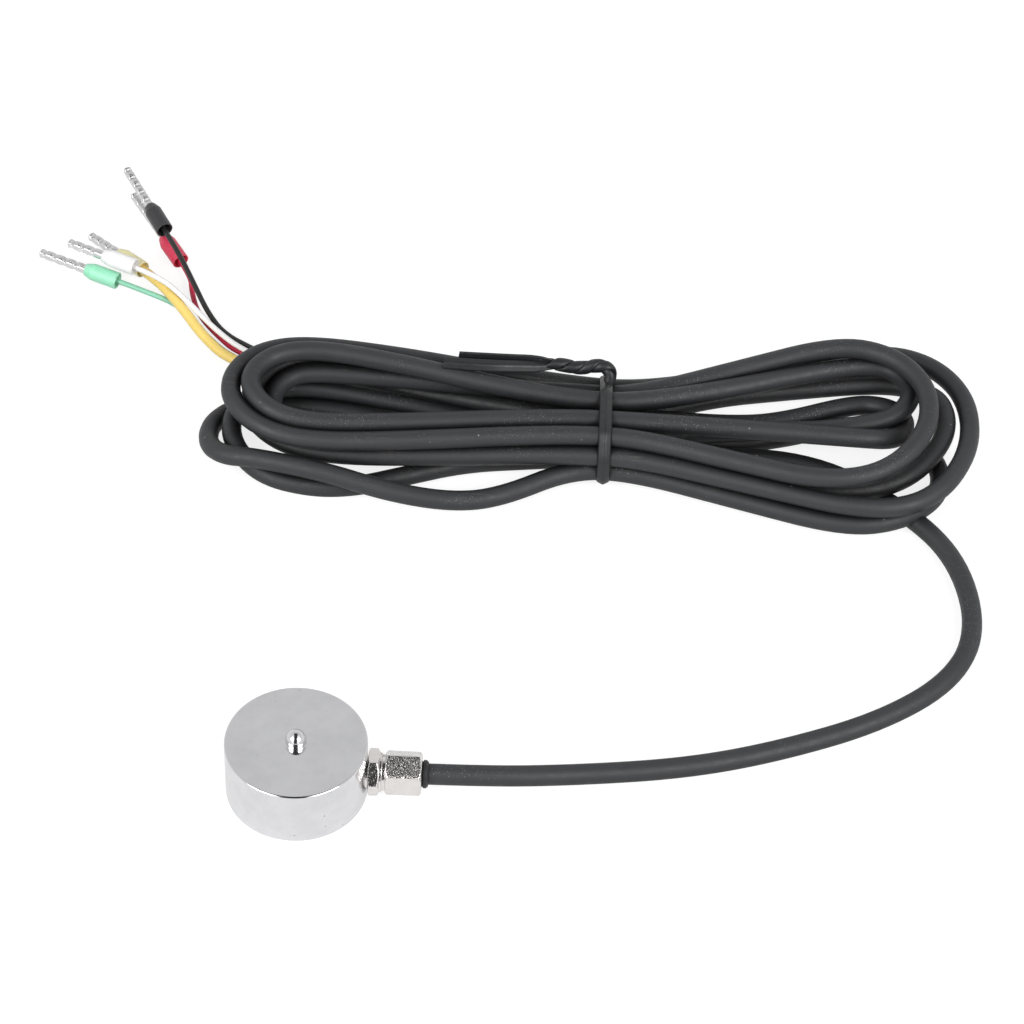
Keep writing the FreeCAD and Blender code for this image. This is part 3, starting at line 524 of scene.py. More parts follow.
class NodeTree:
    """Short calls for the nodes of a finish or of the light tent."""

    def __init__(self, tree):
        self.tree = tree

    def node(self, kind, **settings):
        node = self.tree.nodes.new(kind)
        for name, value in settings.items():
            setattr(node, name, value)
        return node

    def join(self, value, socket):
        """Links an output to a socket, or sets the socket to a number or colour."""
        if isinstance(value, bpy.types.NodeSocket):
            self.tree.links.new(value, socket)
        elif hasattr(value, "__len__") and len(value) == 3 and socket.type == "RGBA":
            socket.default_value = (*value, 1.0)
        else:
            socket.default_value = value

    def combined(self, operation, first, second):
        node = self.node("ShaderNodeMath", operation=operation)
        self.join(first, node.inputs[0])
        self.join(second, node.inputs[1])
        return node.outputs["Value"]

    def times(self, first, second):
        return self.combined("MULTIPLY", first, second)

    def spread(self, value, edges, levels=(0.0, 1.0), **settings):
        """Goes from the first level to the second between two edges of a value."""
        node = self.node("ShaderNodeMapRange", clamp=True, **settings)
        self.join(value, node.inputs["Value"])
        for socket, number in zip(("From Min", "From Max", "To Min", "To Max"), (*edges, *levels)):
            node.inputs[socket].default_value = number
        return node.outputs["Result"]

    def axes(self, vector):
        """A vector's X, Y and Z."""
        split = self.node("ShaderNodeSeparateXYZ")
        self.join(vector, split.inputs["Vector"])
        return split.outputs


class Finish(NodeTree):
    """A material with uneven colour, gloss and relief."""

    def __init__(self, name, **sockets):
        self.material = bpy.data.materials.new(name)
        self.material.use_nodes = True
        super().__init__(self.material.node_tree)
        self.shader = self.tree.nodes["Principled BSDF"]
        self.place = self.node("ShaderNodeTexCoord").outputs["Object"]
        for socket, value in sockets.items():
            self.shader.inputs[socket.replace("_", " ")].default_value = value

    def stretched(self, scale):
        mapping = self.node("ShaderNodeMapping")
        self.join(self.place, mapping.inputs["Vector"])
        mapping.inputs["Scale"].default_value = scale
        return mapping.outputs["Vector"]

    def noise(self, scale, detail=3.0, rough=0.55, place=None):
        node = self.node("ShaderNodeTexNoise")
        self.join(place or self.place, node.inputs["Vector"])
        for socket, number in (("Scale", scale), ("Detail", detail), ("Roughness", rough)):
            node.inputs[socket].default_value = number
        return node.outputs["Fac"]

    def uneven(self, scale, detail, edges, levels=(0.0, 1.0), rough=0.55):
        """Noise that goes from the first level to the second between its two edges."""
        return self.spread(self.noise(scale, detail, rough), edges, levels)

    def specks(self, scale, size, softness):
        """1 on small dots strewn over the surface, 0 between them."""
        node = self.node("ShaderNodeTexVoronoi", feature="F1")
        self.join(self.place, node.inputs["Vector"])
        node.inputs["Scale"].default_value = scale
        return self.spread(node.outputs["Distance"], (size + softness, size))

    def facing_up(self, low, high):
        """0 to 1 as the surface turns to face upwards."""
        normal = self.node("ShaderNodeNewGeometry").outputs["Normal"]
        return self.spread(self.axes(normal)["Z"], (low, high))

    def occlusion_for_painted_shade(self, reach):
        """Ambient occlusion that steers painted shade: 0 deep between neighbours, 1 out in the open."""
        node = self.node("ShaderNodeAmbientOcclusion", samples=8)
        node.inputs["Distance"].default_value = reach
        return node.outputs["AO"]

    def mix(self, share, first, second):
        """A colour between two others."""
        node = self.node("ShaderNodeMix", data_type="RGBA")
        self.join(share, node.inputs["Factor"])
        ends = [socket for socket in node.inputs if socket.type == "RGBA"]
        self.join(first, ends[0])
        self.join(second, ends[1])
        return [socket for socket in node.outputs if socket.type == "RGBA"][0]

    def between(self, share, first, second):
        """A number between two others."""
        node = self.node("ShaderNodeMix", data_type="FLOAT")
        for index, value in ((0, share), (2, first), (3, second)):
            self.join(value, node.inputs[index])
        return node.outputs[0]

    def paint(self, value):
        self.join(value, self.shader.inputs["Base Color"])

    def gloss(self, value):
        self.join(value, self.shader.inputs["Roughness"])

    def bumps(self, *heights):
        """Bumps on each other. Each is a height, its strength and its depth in metres."""
        normal = None
        for height, strength, depth in heights:
            node = self.node("ShaderNodeBump")
            self.join(height, node.inputs["Height"])
            node.inputs["Strength"].default_value = strength
            node.inputs["Distance"].default_value = depth
            if normal:
                self.join(normal, node.inputs["Normal"])
            normal = node.outputs["Normal"]
        self.join(normal, self.shader.inputs["Normal"])


# What lies on the plastics
SCUFF = srgb(112, 108, 102)
DUST = srgb(176, 174, 170)
LINT = srgb(140, 139, 137)
GRIME = srgb(120, 112, 100)
# How near a neighbour has to be for the jacket to get painted shade
PAINTED_SHADE_REACH = 5 * MM


def shade(value, factor):
    """A colour made lighter or darker."""
    return tuple(min(1.0, channel * factor) for channel in value)


def blended(value, other, share):
    return tuple(a + (b - a) * share for a, b in zip(value, other))


def polished_steel(name, base, lid=True):
    """Polished steel with faint blotches, hairline scratches, a few nicks and a satin lid."""
    finish = Finish(name, Metallic=1.0)
    blotches = finish.uneven(260, 4.0, (0.35, 0.7), rough=0.6)
    hairlines = finish.noise(1.0, 3.0, 0.6, finish.stretched((90, 2200, 400)))
    scratches = finish.times(finish.spread(hairlines, (0.62, 0.72), (0.0, 0.4)),
                             finish.uneven(110, 2.0, (0.5, 0.65)))
    nicks = finish.times(finish.specks(520, 0.045, 0.04),
                         finish.uneven(150, 2.0, (0.46, 0.54), (0.0, 0.75)))
    tone = finish.mix(blotches, shade(base, 1.02), shade(base, 0.93))
    tone = finish.mix(scratches, tone, shade(base, 0.72))
    finish.paint(finish.mix(nicks, tone, shade(base, 0.4)))
    smears = finish.uneven(700, 5.0, (0.3, 0.75), (0.07, 0.17), rough=0.65)
    if lid:
        satin = finish.uneven(480, 5.0, (0.3, 0.7), (0.06, 0.13), rough=0.6)
        smears = finish.between(finish.facing_up(0.97, 0.999), smears, satin)
    finish.gloss(smears)
    finish.bumps((finish.noise(9000, 2.0), 0.05, 0.02 * MM), (finish.noise(380, 3.0), 0.06, 0.06 * MM))
    return finish.material


def nickel_plate(name, base, grain):
    """Bright plate over a drawn bar, with a grainy skin of the given depth."""
    finish = Finish(name, Metallic=1.0)
    finish.paint(finish.mix(finish.noise(900, 4.0, 0.6), shade(base, 1.04), shade(base, 0.84)))
    finish.gloss(finish.uneven(2600, 3.0, (0.3, 0.7), (0.07, 0.16)))
    finish.bumps((finish.noise(3600, 2.0, 0.6), 0.9, grain), (finish.noise(600, 2.0), 0.12, 0.05 * MM))
    return finish.material


def jacket_plastic(name, base):
    """Matt cable jacket with painted shade between its strands and a painted lighter tone out in the open,
    with dust, scuffs and handling marks.
    """
    finish = Finish(name, Specular_IOR_Level=0.42)
    # Painted light and shade: an uneven, lighter tone where the strands lie open, going to a much darker tone
    # deep between them
    painted_light_tone = finish.mix(finish.noise(160, 4.0, 0.6), shade(base, 1.16), shade(base, 1.56))
    tone = finish.mix(finish.spread(finish.occlusion_for_painted_shade(PAINTED_SHADE_REACH), (0.4, 1.0)), shade(base, 0.32), painted_light_tone)
    streaks = finish.noise(1.0, 4.0, 0.7, finish.stretched((170, 2300, 2300)))
    worn = finish.times(finish.spread(streaks, (0.56, 0.74), (0.0, 0.5)),
                        finish.uneven(90, 3.0, (0.5, 0.72), rough=0.6))
    worn = finish.times(worn, finish.facing_up(0.1, 0.8))
    dust = finish.times(finish.specks(620, 0.045, 0.05), finish.uneven(240, 3.0, (0.56, 0.70), (0.0, 0.8)))
    lint = finish.times(finish.specks(2600, 0.1, 0.12), finish.facing_up(0.1, 0.7))
    lint = finish.times(lint, finish.uneven(75, 3.0, (0.5, 0.66), (0.0, 0.7)))
    for share, mark in ((worn, SCUFF), (dust, DUST), (lint, LINT)):
        tone = finish.mix(share, tone, mark)
    finish.paint(tone)
    finish.gloss(finish.uneven(700, 4.0, (0.3, 0.7), (0.46, 0.62), rough=0.6))
    finish.bumps((finish.noise(4200, 3.0, 0.6), 0.16, 0.05 * MM), (finish.noise(230, 2.0), 0.12, 0.25 * MM))
    return finish.material


def soft_plastic(name, base, rough=0.36, grain=0.1, spots=0.16):
    """Moulded or drawn plastic: uneven tone, soft gloss, fine grain and a little grime."""
    finish = Finish(name, Specular_IOR_Level=0.45)
    tone = finish.mix(finish.noise(420, 4.0, 0.6), shade(base, 0.92), shade(base, 1.06))
    grime = finish.times(finish.specks(1300, 0.06, 0.08), finish.uneven(500, 3.0, (0.5, 0.64), (0.0, spots)))
    finish.paint(finish.mix(grime, tone, blended(base, GRIME, 0.7)))
    finish.gloss(finish.uneven(1500, 3.0, (0.3, 0.7), (rough - 0.07, rough + 0.1)))
    finish.bumps((finish.noise(6500, 2.0), grain, 0.02 * MM), (finish.noise(900, 2.0), 0.1, 0.06 * MM))
    return finish


def clear_collar(name, base, glow):
    """Ferrule collar of slightly see-through plastic."""
    finish = soft_plastic(name, base, rough=0.34, grain=0.08, spots=0.1)
    finish.shader.inputs["Subsurface Weight"].default_value = glow
    finish.shader.inputs["Subsurface Scale"].default_value = 0.9 * MM
    finish.shader.inputs["Subsurface Radius"].default_value = (1.0, 1.0, 1.0)
    return finish.material


def tinned(name, base):
    """Tinned copper, uneven and a little dull."""
    finish = Finish(name, Metallic=1.0)
    finish.paint(finish.mix(finish.noise(1700, 4.0, 0.65), shade(base, 1.05), shade(base, 0.7)))
    finish.gloss(finish.uneven(3000, 3.0, (0.3, 0.7), (0.2, 0.42)))
    finish.bumps((finish.noise(5200, 3.0, 0.6), 0.4, 0.04 * MM))
    return finish.material


def rubber(name, base):
    """Matt black rubber with a fine grain."""
    finish = Finish(name, Specular_IOR_Level=0.4)
    finish.paint(finish.mix(finish.noise(900, 4.0), shade(base, 0.85), shade(base, 1.3)))
    finish.gloss(finish.uneven(1600, 3.0, (0.3, 0.7), (0.42, 0.62)))
    finish.bumps((finish.noise(5000, 3.0), 0.2, 0.04 * MM))
    return finish.material


def laminate(name, base, weave):
    """Glass-cloth laminate, ceramic or foil: a fine regular weave under an uneven tone."""
    finish = Finish(name)
    lines = finish.node("ShaderNodeTexWave", wave_type="BANDS", bands_direction="DIAGONAL")
    finish.join(finish.place, lines.inputs["Vector"])
    lines.inputs["Scale"].default_value = weave
    tone = finish.mix(finish.noise(1200, 3.0), shade(base, 0.85), shade(base, 1.1))
    threads = finish.spread(lines.outputs["Fac"], (0.2, 0.8), (0.0, 0.25))
    finish.paint(finish.mix(threads, tone, shade(base, 0.7)))
    finish.gloss(finish.uneven(2000, 3.0, (0.3, 0.7), (0.35, 0.55)))
    finish.bumps((lines.outputs["Fac"], 0.15, 0.02 * MM))
    return finish.material


# Cable


# A run this many chords of its tip long gets two points, the last one so many chords before the tip
LONG_RUN = 4
LAST_POINT = 1.9


def run_to_tie(slot, begin, across, height, chord, reach, slot_reach):
    """Points on a strand's run from the tie to where it begins to round, nearest the tie first."""
    start = slot_reach / reach
    run = (begin - start) * reach
    if run > LONG_RUN * chord:
        last = 1 - LAST_POINT * chord / run
        shares = (0.5 * last, last)
    else:
        shares = (0.5,)
    points = []
    for share in shares:
        eased = 0.5 * share + 0.5 * share * share * (3 - 2 * share)
        points.append((start + (begin - start) * share,
                       slot[0] + (across - slot[0]) * eased,
                       slot[1] + (height - slot[1]) * eased))
    return points


def loop_points(loop, tie_at, slot_reach, runs):
    """Points of one loop from the tie along its back, round its tip and along its front to the tie."""
    side, back_slot, front_slot, reach, places, begins, heights = loop
    tip, back, front = places
    back_height, tip_height, front_height = heights
    end = []
    for turn in TIP_TURNS:
        along = math.cos(math.radians(turn))
        across = math.sin(math.radians(turn))
        begin = begins[0] if across > 0 else begins[1]
        swell = back - tip if across > 0 else tip - front
        rise = (back_height if across > 0 else front_height) - tip_height
        widen = 1 if turn in (TIP_TURNS[0], TIP_TURNS[-1]) else TIP_OUTSET
        end.append((begin + (1 - begin) * along * TIP_OUTSET,
                    tip + swell * across * widen,
                    tip_height + rise * across * across))

    def run(name, slot, begin, across, height, first, second):
        chord = math.hypot((first[0] - second[0]) * reach, first[1] - second[1])
        return runs.get(name) or run_to_tie(TIE_SLOTS[slot], begin, across, height, chord, reach, slot_reach)

    points = run("back", back_slot, begins[0], back, back_height, end[0], end[1])
    points = points + end + run("front", front_slot, begins[1], front, front_height, end[-1], end[-2])[::-1]
    return [(tie_at + side * share * reach, across, height) for share, across, height in points]


def cable_route(tie_at, slot_reach):
    """Control points of the whole cable in millimetres: the lead, the loops of the hank and the far end."""
    def through_tie(slot, heading):
        return [(tie_at + way * heading * slot_reach, *TIE_SLOTS[slot]) for way in (-1, 1)]

    points = LEAD_ROUTE + HANK_ENTRY + through_tie(HANK_LOOPS[0][1], -1)
    for number, loop in enumerate(HANK_LOOPS):
        side, back_slot, front_slot = loop[:3]
        turn = loop_points(loop, tie_at, slot_reach, LOOP_RUNS.get(number, {}))
        if side < 0:
            points += turn + through_tie(front_slot, 1)
        else:
            points += turn[::-1] + through_tie(back_slot, -1)
    return np.array(points + HANK_EXIT)


# How the strands settle, in millimetres and shares of a round's correction
LINE_STEPS = 8
NEAR_POINTS = 3
BENCH_GAP = 0.05
PUSH_SHARE = 1.3
EASE_SHARE = 0.35
MOST_EASE = 0.8
SMOOTH_SHARE = 0.25
FAR_END_POINTS = 4
FAR_END_SHARE = 0.3


def pushed_apart(line, apart, diameter):
    """Moves that take each place on the line out of the strands beside it and off the bench."""
    square = np.einsum("ij,ij->i", line, line)
    gaps = square[:, None] + square[None] - 2 * line @ line.T
    first, second = np.nonzero((gaps < diameter ** 2) & apart)
    away = line[first] - line[second]
    gap = np.linalg.norm(away, axis=1, keepdims=True)
    push = np.zeros_like(line)
    np.add.at(push, first, away / (gap + 1e-6) * (diameter - gap))
    push /= np.maximum(1, np.bincount(first, minlength=len(line)))[:, None]
    push[:, 2] += np.clip(diameter / 2 + BENCH_GAP - line[:, 2], 0, None)
    return push


def eased_bends(points, bend):
    """Moves of the inner points that open the bends tighter than the cable allows."""
    before, middle, after = points[:-2], points[1:-1], points[2:]
    chord = (after - before) / 2
    sharpness = np.linalg.norm(np.cross(chord, before - 2 * middle + after), axis=1)
    sharpness /= np.linalg.norm(chord, axis=1) ** 3
    excess = np.clip(1 - 1 / (sharpness * bend + 1e-9), 0, MOST_EASE)[:, None]
    return EASE_SHARE * excess * ((before + after) / 2 - middle)


def settled(route, diameter, bend, rounds, held):
    """Lets the strands come to rest on each other and on the bench.
    The first points are held where they are, and the last ones move little."""
    weights = spline_weights(len(route), LINE_STEPS)
    share = weights.T / weights.T.sum(axis=1, keepdims=True)
    points = route.copy()
    free = np.ones((len(route), 1))
    free[:held] = 0
    free[-FAR_END_POINTS:] = FAR_END_SHARE
    free[-1] = 0
    order = np.arange(len(weights))
    apart = np.abs(order[:, None] - order[None]) >= NEAR_POINTS * LINE_STEPS
    for _ in range(rounds):
        points += PUSH_SHARE * (share @ pushed_apart(weights @ points, apart, diameter)) * free
        ease = eased_bends(points, bend) * free[1:-1]
        points[1:-1] += ease
        points[:-2] -= ease / 2 * free[:-2]
        points[2:] -= ease / 2 * free[2:]
        moved = points - route
        smooth = np.zeros_like(points)
        smooth[1:-1] = (moved[:-2] + moved[2:]) / 2 - moved[1:-1]
        points += SMOOTH_SHARE * smooth * free
    return points


def cord_curve(name, points, diameter, finish, sides):
    """Round cord on one smooth spline through its route's control points, in metres."""
    curve = bpy.data.curves.new(name, "CURVE")
    curve.dimensions = "3D"
    spline = curve.splines.new("NURBS")
    spline.points.add(len(points) - 1)
    for point, place in zip(spline.points, points):
        point.co = (*place, 1.0)
    spline.order_u = 3
    spline.use_endpoint_u = True
    spline.resolution_u = 8
    spline.use_smooth = True
    curve.bevel_depth = diameter / 2
    curve.bevel_resolution = sides
    curve.use_fill_caps = True
    curve.materials.append(finish)
    cord = bpy.data.objects.new(name, curve)
    bpy.context.scene.collection.objects.link(cord)
    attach(cord, "root")
    return cord


def route_of(cord):
    """Control points of a cord's spline."""
    return [tuple(point.co[:3]) for point in cord.data.splines[0].points]


def route_length(points):
    line = smooth_line(points, 24)
    return float(np.linalg.norm(np.diff(line, axis=0), axis=1).sum())


# Pieces and their operators


def body_profile(size, dome_steps=24):
    """Half section of the body, from the boss round the wall and over the lid to the button's top."""
    radius = size.diameter / 2
    ceiling = size.height - size.diaphragm
    boss = size.boss_diameter / 2
    boss_face = ceiling - size.boss_depth
    inner = radius - size.wall
    recess = size.cover_diameter / 2
    button = size.button_diameter / 2
    top = size.height + size.button_shank
    profile = rounded([
        (0, boss_face, 0),
        (boss, boss_face, size.boss_edge),
        (boss, ceiling, size.boss_root),
        (inner, ceiling, size.wall_root),
        (inner, size.cover_thickness, 0),
        (recess, size.cover_thickness, 0),
        (recess, 0, size.recess_edge),
        (radius, 0, size.edge),
        (radius, size.height, size.edge),
        (button, size.height, size.button_root),
        (button, top, 0),
    ])
    for step in range(1, dome_steps):
        turn = math.pi / 2 * step / dome_steps
        profile.append(Vector((button * math.cos(turn), top + button * math.sin(turn))))
    return profile + [Vector((0, top + button))]


class LOADCELL_OT_body(Operator):
    """Turns the load cell's body and its button"""
    bl_idname = "load_cell.body"
    bl_label = "Body and button"

    def execute(self, context):
        profile = body_profile(context.scene.load_cell_body)
        finish = polished_steel("polished_steel", context.scene.load_cell_colours.steel)
        body = new_piece("sensor_body", *lathe(profile, 256, Matrix.Identity(4)), finish, sharp=50)
        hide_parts("load_cell_body")
        return {"FINISHED"}


class LOADCELL_OT_insides(Operator):
    """Finishes the base cover and what lies inside the body"""
    bl_idname = "load_cell.insides"
    bl_label = "Cover and insides"

    def execute(self, context):
        colours = context.scene.load_cell_colours
        finishes = {
            "base_cover": polished_steel("cover_steel", shade(colours.steel, 0.92), lid=False),
            "strain_gauge": laminate("gauge_foil", colours.gauge, 9000),
            "terminal_board": laminate("board_laminate", colours.board, 4200),
            "trim_resistor": laminate("resistor_body", colours.resistor, 6000),
        }
        for name in WIRE_ROUTES:
            base = getattr(colours, f"wire_{name}")
            finishes[f"inner_lead_{name}"] = soft_plastic(f"core_{name}", base).material
        for name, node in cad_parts.items():
            for start, finish in finishes.items():
                if name.startswith(start):
                    node.data.materials.clear()
                    node.data.materials.append(finish)
        return {"FINISHED"}


# Depth of the plate's grain, what the hexagon's inner end has of the full chamfer, the slope into the neck's
# groove, and the nut's mouth inside the seal's lip
HEX_GRAIN = 0.06 * MM
NUT_GRAIN = 0.1 * MM
INNER_CHAMFER = 0.6
GROOVE_SLOPE = 0.06 * MM
MOUTH_STEP = 0.1 * MM
# The seal's grip on the cable, the room in its open end, and the lip's places along the cable from the nut's
# end
SEAL_GRIP = 0.05 * MM
SEAL_ROOM = 0.2 * MM
LIP_ROOT = 0.1 * MM
LIP_START = 0.25 * MM
LIP_STOP = 0.62 * MM


def hexagon_and_neck(size, along):
    """Gland hexagon with its stub in the body's wall, and the grooved neck towards the nut."""
    bore = size.bore / 2
    neck = size.neck_diameter / 2
    seat = neck - size.seat_step
    sections = [(size.root, bore), (size.root, seat), (size.hex_start, seat)]
    sections += chamfered_end(size.hex_start, -1, size.hex_width, INNER_CHAMFER * size.chamfer)
    sections += reversed(chamfered_end(size.hex_end, 1, size.hex_width, size.chamfer))
    hexagon = hexagon_bar(sections + [(size.hex_end, bore)], size.hex_width, size.hex_turn, along)
    start = size.hex_end - size.neck_overlap
    shoulder = size.hex_end + size.shoulder
    end = size.nut_start + size.neck_overlap
    profile = rounded([
        (bore, start, 0),
        (neck, start, 0),
        (neck, shoulder, 0.05 * MM),
        (neck - size.groove, shoulder + GROOVE_SLOPE, 0.04 * MM),
        (neck - size.groove, end, 0),
        (bore, end, 0),
    ])
    return join_shapes([hexagon, lathe(profile, 128, along, closed=True)])


def clamp_nut(size, along):
    """Clamping nut, open for the seal's sleeve."""
    mouth = size.lip_diameter / 2 - MOUTH_STEP
    inner = chamfered_end(size.nut_start, -1, size.nut_width, size.chamfer)
    outer = chamfered_end(size.nut_end, 1, size.nut_width, size.chamfer)
    sections = [(size.nut_start, mouth)] + inner + outer[::-1] + [(size.nut_end, mouth)]
    return hexagon_bar(sections, size.nut_width, size.nut_turn, along)


def seal_lip(size, cable_diameter, along):
    """Rubber sleeve in the nut with its round lip, tight on the cable."""
    lip = size.lip_diameter / 2
    sleeve = lip - size.lip_step
    grip = cable_diameter / 2 - SEAL_GRIP
    profile = rounded([
        (grip, size.nut_end - size.lip_inside, 0),
        (sleeve, size.nut_end - size.lip_inside, 0),
        (sleeve, size.nut_end + LIP_ROOT, 0.1 * MM),
        (lip, size.nut_end + LIP_START, 0.12 * MM),
        (lip, size.nut_end + LIP_STOP, 0.16 * MM),
        (cable_diameter / 2 + SEAL_ROOM, size.lip_end, 0.1 * MM),
        (grip, size.lip_end, 0),
    ])
    return lathe(profile, 96, along, closed=True)


class LOADCELL_OT_gland(Operator):
    """Makes the gland's hexagon and neck, its clamping nut and the seal's lip"""
    bl_idname = "load_cell.gland"
    bl_label = "Cable gland"

    def execute(self, context):
        size = context.scene.load_cell_gland
        colours = context.scene.load_cell_colours
        cable_diameter = context.scene.load_cell_cable.diameter
        along = Matrix.Translation((0, 0, size.axis)) @ Matrix.Rotation(math.pi / 2, 4, "Y")
        plate = nickel_plate("nickel_plate", colours.nickel, HEX_GRAIN)
        nut_plate = nickel_plate("nut_plate", colours.nickel, NUT_GRAIN)
        body = new_piece("gland_hexagon", *hexagon_and_neck(size, along), plate, sharp=45)
        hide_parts("gland_body")
        nut = new_piece("gland_clamp_nut", *clamp_nut(size, along), nut_plate, sharp=45)
        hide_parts("gland_nut")
        skin = rubber("seal_rubber", colours.rubber)
        seal = new_piece("gland_seal_lip", *seal_lip(size, cable_diameter, along), skin, sharp=50)
        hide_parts("gland_seal")
        return {"FINISHED"}


class LOADCELL_OT_cable(Operator):
    """Lays the cable from the gland into its hank and out to its far end"""
    bl_idname = "load_cell.cable"
    bl_label = "Cable and hank"

    def execute(self, context):
        size = context.scene.load_cell_cable
        route = cable_route(size.tie_at / MM, size.slot_reach / MM)
        route = settled(route, size.diameter / MM, size.bend / MM, size.rounds, len(LEAD_ROUTE))
        finish = jacket_plastic("cable_jacket", context.scene.load_cell_colours.jacket)
        cable = cord_curve("cable", route * MM, size.diameter, finish, 6)
        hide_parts("cable_lead", "cable_hank")
        return {"FINISHED"}


# The tie's band: strands lie further across than this, its room round them, its points, and how often those
# are smoothed
HANK_SIDE = 40 * MM
BAND_ROOM = 0.06 * MM
RIM_STEPS = 48
BAND_POINTS = 160
BAND_ROUNDS = 6
# The twisted pair: half axes of each strip, folded up, and the way up from which its turns are counted
FOLDED_STRIP = (0.84 * MM, 0.5 * MM)
FOLD_STEPS = 16
TWIST_UP = (0.0, 0.3, 1.0)
# Where pair and tails meet, each strip is drawn in to this share and widens over a part of its length
DRAWN_IN = 0.3
PAIR_WIDENS = 5
TAIL_WIDENS = 3


def strip_section(size, samples=17):
    """Flat strip with the ridge of its wire along the middle and a slight hollow below."""
    half = size.width / 2
    outer = []
    for number in range(samples):
        across = -half + size.width * number / (samples - 1)
        ridge = size.ridge * math.exp(-(across / size.ridge_width) ** 2)
        edge = 0.5 * size.thickness * (abs(across) / half) ** 8
        outer.append((across, size.thickness + ridge - edge))
    inner = [(half * share, depth * MM)
             for share, depth in ((0.96, 0.0), (0.5, -0.02), (0.0, -0.03), (-0.5, -0.02), (-0.96, 0.0))]
    return outer + inner


def convex_outline(points):
    """Outline of a set of flat points, anticlockwise."""
    points = sorted(set(points))

    def half(points):
        line = []
        for point in points:
            while len(line) > 1:
                (ax, ay), (bx, by) = line[-2], line[-1]
                if (bx - ax) * (point[1] - ay) - (by - ay) * (point[0] - ax) > 0:
                    break
                line.pop()
            line.append(point)
        return line[:-1]

    return half(points) + half(points[::-1])


def strands_in_tie(line, tie_at):
    """Places where the cable's line goes through the tie."""
    strands = []
    for before, after in zip(line, line[1:]):
        crosses = (before[0] - tie_at) * (after[0] - tie_at) <= 0
        if crosses and before[1] > HANK_SIDE:
            share = (tie_at - before[0]) / (after[0] - before[0])
            strands.append(before + share * (after - before))
    return strands


def tie_band(size, strands, tie_at, cable_diameter):
    """Strip laid tight round the strands."""
    reach = cable_diameter / 2 + BAND_ROOM
    rim = []
    for strand in strands:
        for step in range(RIM_STEPS):
            turn = 2 * math.pi * step / RIM_STEPS
            rim.append((strand[1] + reach * math.cos(turn), strand[2] + reach * math.sin(turn)))
    outline = np.array(convex_outline(rim))
    around = np.vstack([outline, outline[:1]])
    travelled = np.concatenate([[0], np.cumsum(np.linalg.norm(np.diff(around, axis=0), axis=1))])
    even = np.arange(BAND_POINTS) / BAND_POINTS * travelled[-1]
    loop = np.stack([np.interp(even, travelled, around[:, axis]) for axis in (0, 1)], axis=1)
    for _ in range(BAND_ROUNDS):
        loop = 0.5 * loop + 0.25 * (np.roll(loop, 1, axis=0) + np.roll(loop, -1, axis=0))
    path = [(tie_at, across, height) for across, height in loop]
    ahead = np.roll(loop, -1, axis=0) - np.roll(loop, 1, axis=0)
    ups = [(0, rise, -run) for run, rise in ahead]
    return sweep(path, ups, strip_section(size), closed=True)


def twisted_pair(size):
    """The strip's two ends twisted round each other, drawn in where the tails leave them."""
    pair = smooth_line(np.array(TWIST_ROUTE) * MM, 16)
    last = len(pair) - 1
    helices, ups, sizes = ([], []), ([], []), []
    for number, place in enumerate(pair):
        share = number / last
        along = unit(pair[min(last, number + 1)] - pair[max(0, number - 1)])
        side = unit(np.cross(along, TWIST_UP))
        rise = np.cross(side, along)
        turn = 2 * math.pi * size.turns * share
        out = side * math.cos(turn) + rise * math.sin(turn)
        for helix, helix_ups, way in zip(helices, ups, (1, -1)):
            helix.append(place + way * out * size.twist)
            helix_ups.append(way * out)
        sizes.append(min(1, DRAWN_IN + PAIR_WIDENS * (1 - share)))
    turns = [2 * math.pi * step / FOLD_STEPS for step in range(FOLD_STEPS)]
    oval = [(FOLDED_STRIP[0] * math.cos(turn), FOLDED_STRIP[1] * math.sin(turn)) for turn in turns]
    return [sweep(helix, helix_ups, oval, sizes=sizes) for helix, helix_ups in zip(helices, ups)]


def tie_tails(size):
    """The strip's two free ends, opening out of the twisted pair."""
    tails = []
    for route, up in zip(TAIL_ROUTES, TAIL_UPS):
        line = smooth_line(np.array(route) * MM, 12)
        shares = [number / (len(line) - 1) for number in range(len(line))]
        sizes = [min(1, DRAWN_IN + TAIL_WIDENS * share) for share in shares]
        tails.append(sweep(line, [up] * len(line), strip_section(size), sizes=sizes))
    return tails


class LOADCELL_OT_tie(Operator):
    bl_idname = "load_cell.tie"
    bl_label = "Twist tie"

    def execute(self, context):
        size = context.scene.load_cell_tie
        cable_size = context.scene.load_cell_cable
        cable = bpy.data.objects.get("cable")
        if cable is None:
            raise RuntimeError("the tie goes round the cable, so the cable comes first")
        route = route_of(cable)
        strands = strands_in_tie(smooth_line(route, 24), cable_size.tie_at)
        band = tie_band(size, strands, cable_size.tie_at, cable_size.diameter)
        shapes = [band] + twisted_pair(size) + tie_tails(size)
        finish = soft_plastic("tie_plastic", context.scene.load_cell_colours.tie, rough=0.42, grain=0.14)
        tie = new_piece("twist_tie", *join_shapes(shapes), finish.material, sharp=60)
        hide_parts("hank_tie")
        route_length(route)
        return {"FINISHED"}


def ferrule_place(route, depth):
    """Place of a ferrule on the last run of a wire's route, its Z axis along the wire and out of it."""
    before, end = (Vector(point) * MM for point in route[-2:])
    along = (end - before).normalized()
    return Matrix.Translation(end - along * depth) @ along.to_track_quat("Z", "Y").to_matrix().to_4x4()


# Pins in millimetres past their collars, and how much light the collars let through
PIN_REACHES = {"black": 9.2, "white": 6.2, "red": 10.4, "green": 8.0, "yellow": 6.5}
COLLAR_GLOW = {"black": 0.0, "white": 0.5, "red": 0.25, "green": 0.6, "yellow": 0.6}
# Ferrules: the hole's room round the pin, the funnel, the wire's gap to the pin, the pin's plain start
PIN_ROOM = 1.06
FUNNEL_DEPTH = 0.9 * MM
WIRE_GAP = 0.2 * MM
PLAIN_START = 0.1 * MM
PLAIN_LENGTH = 0.6 * MM
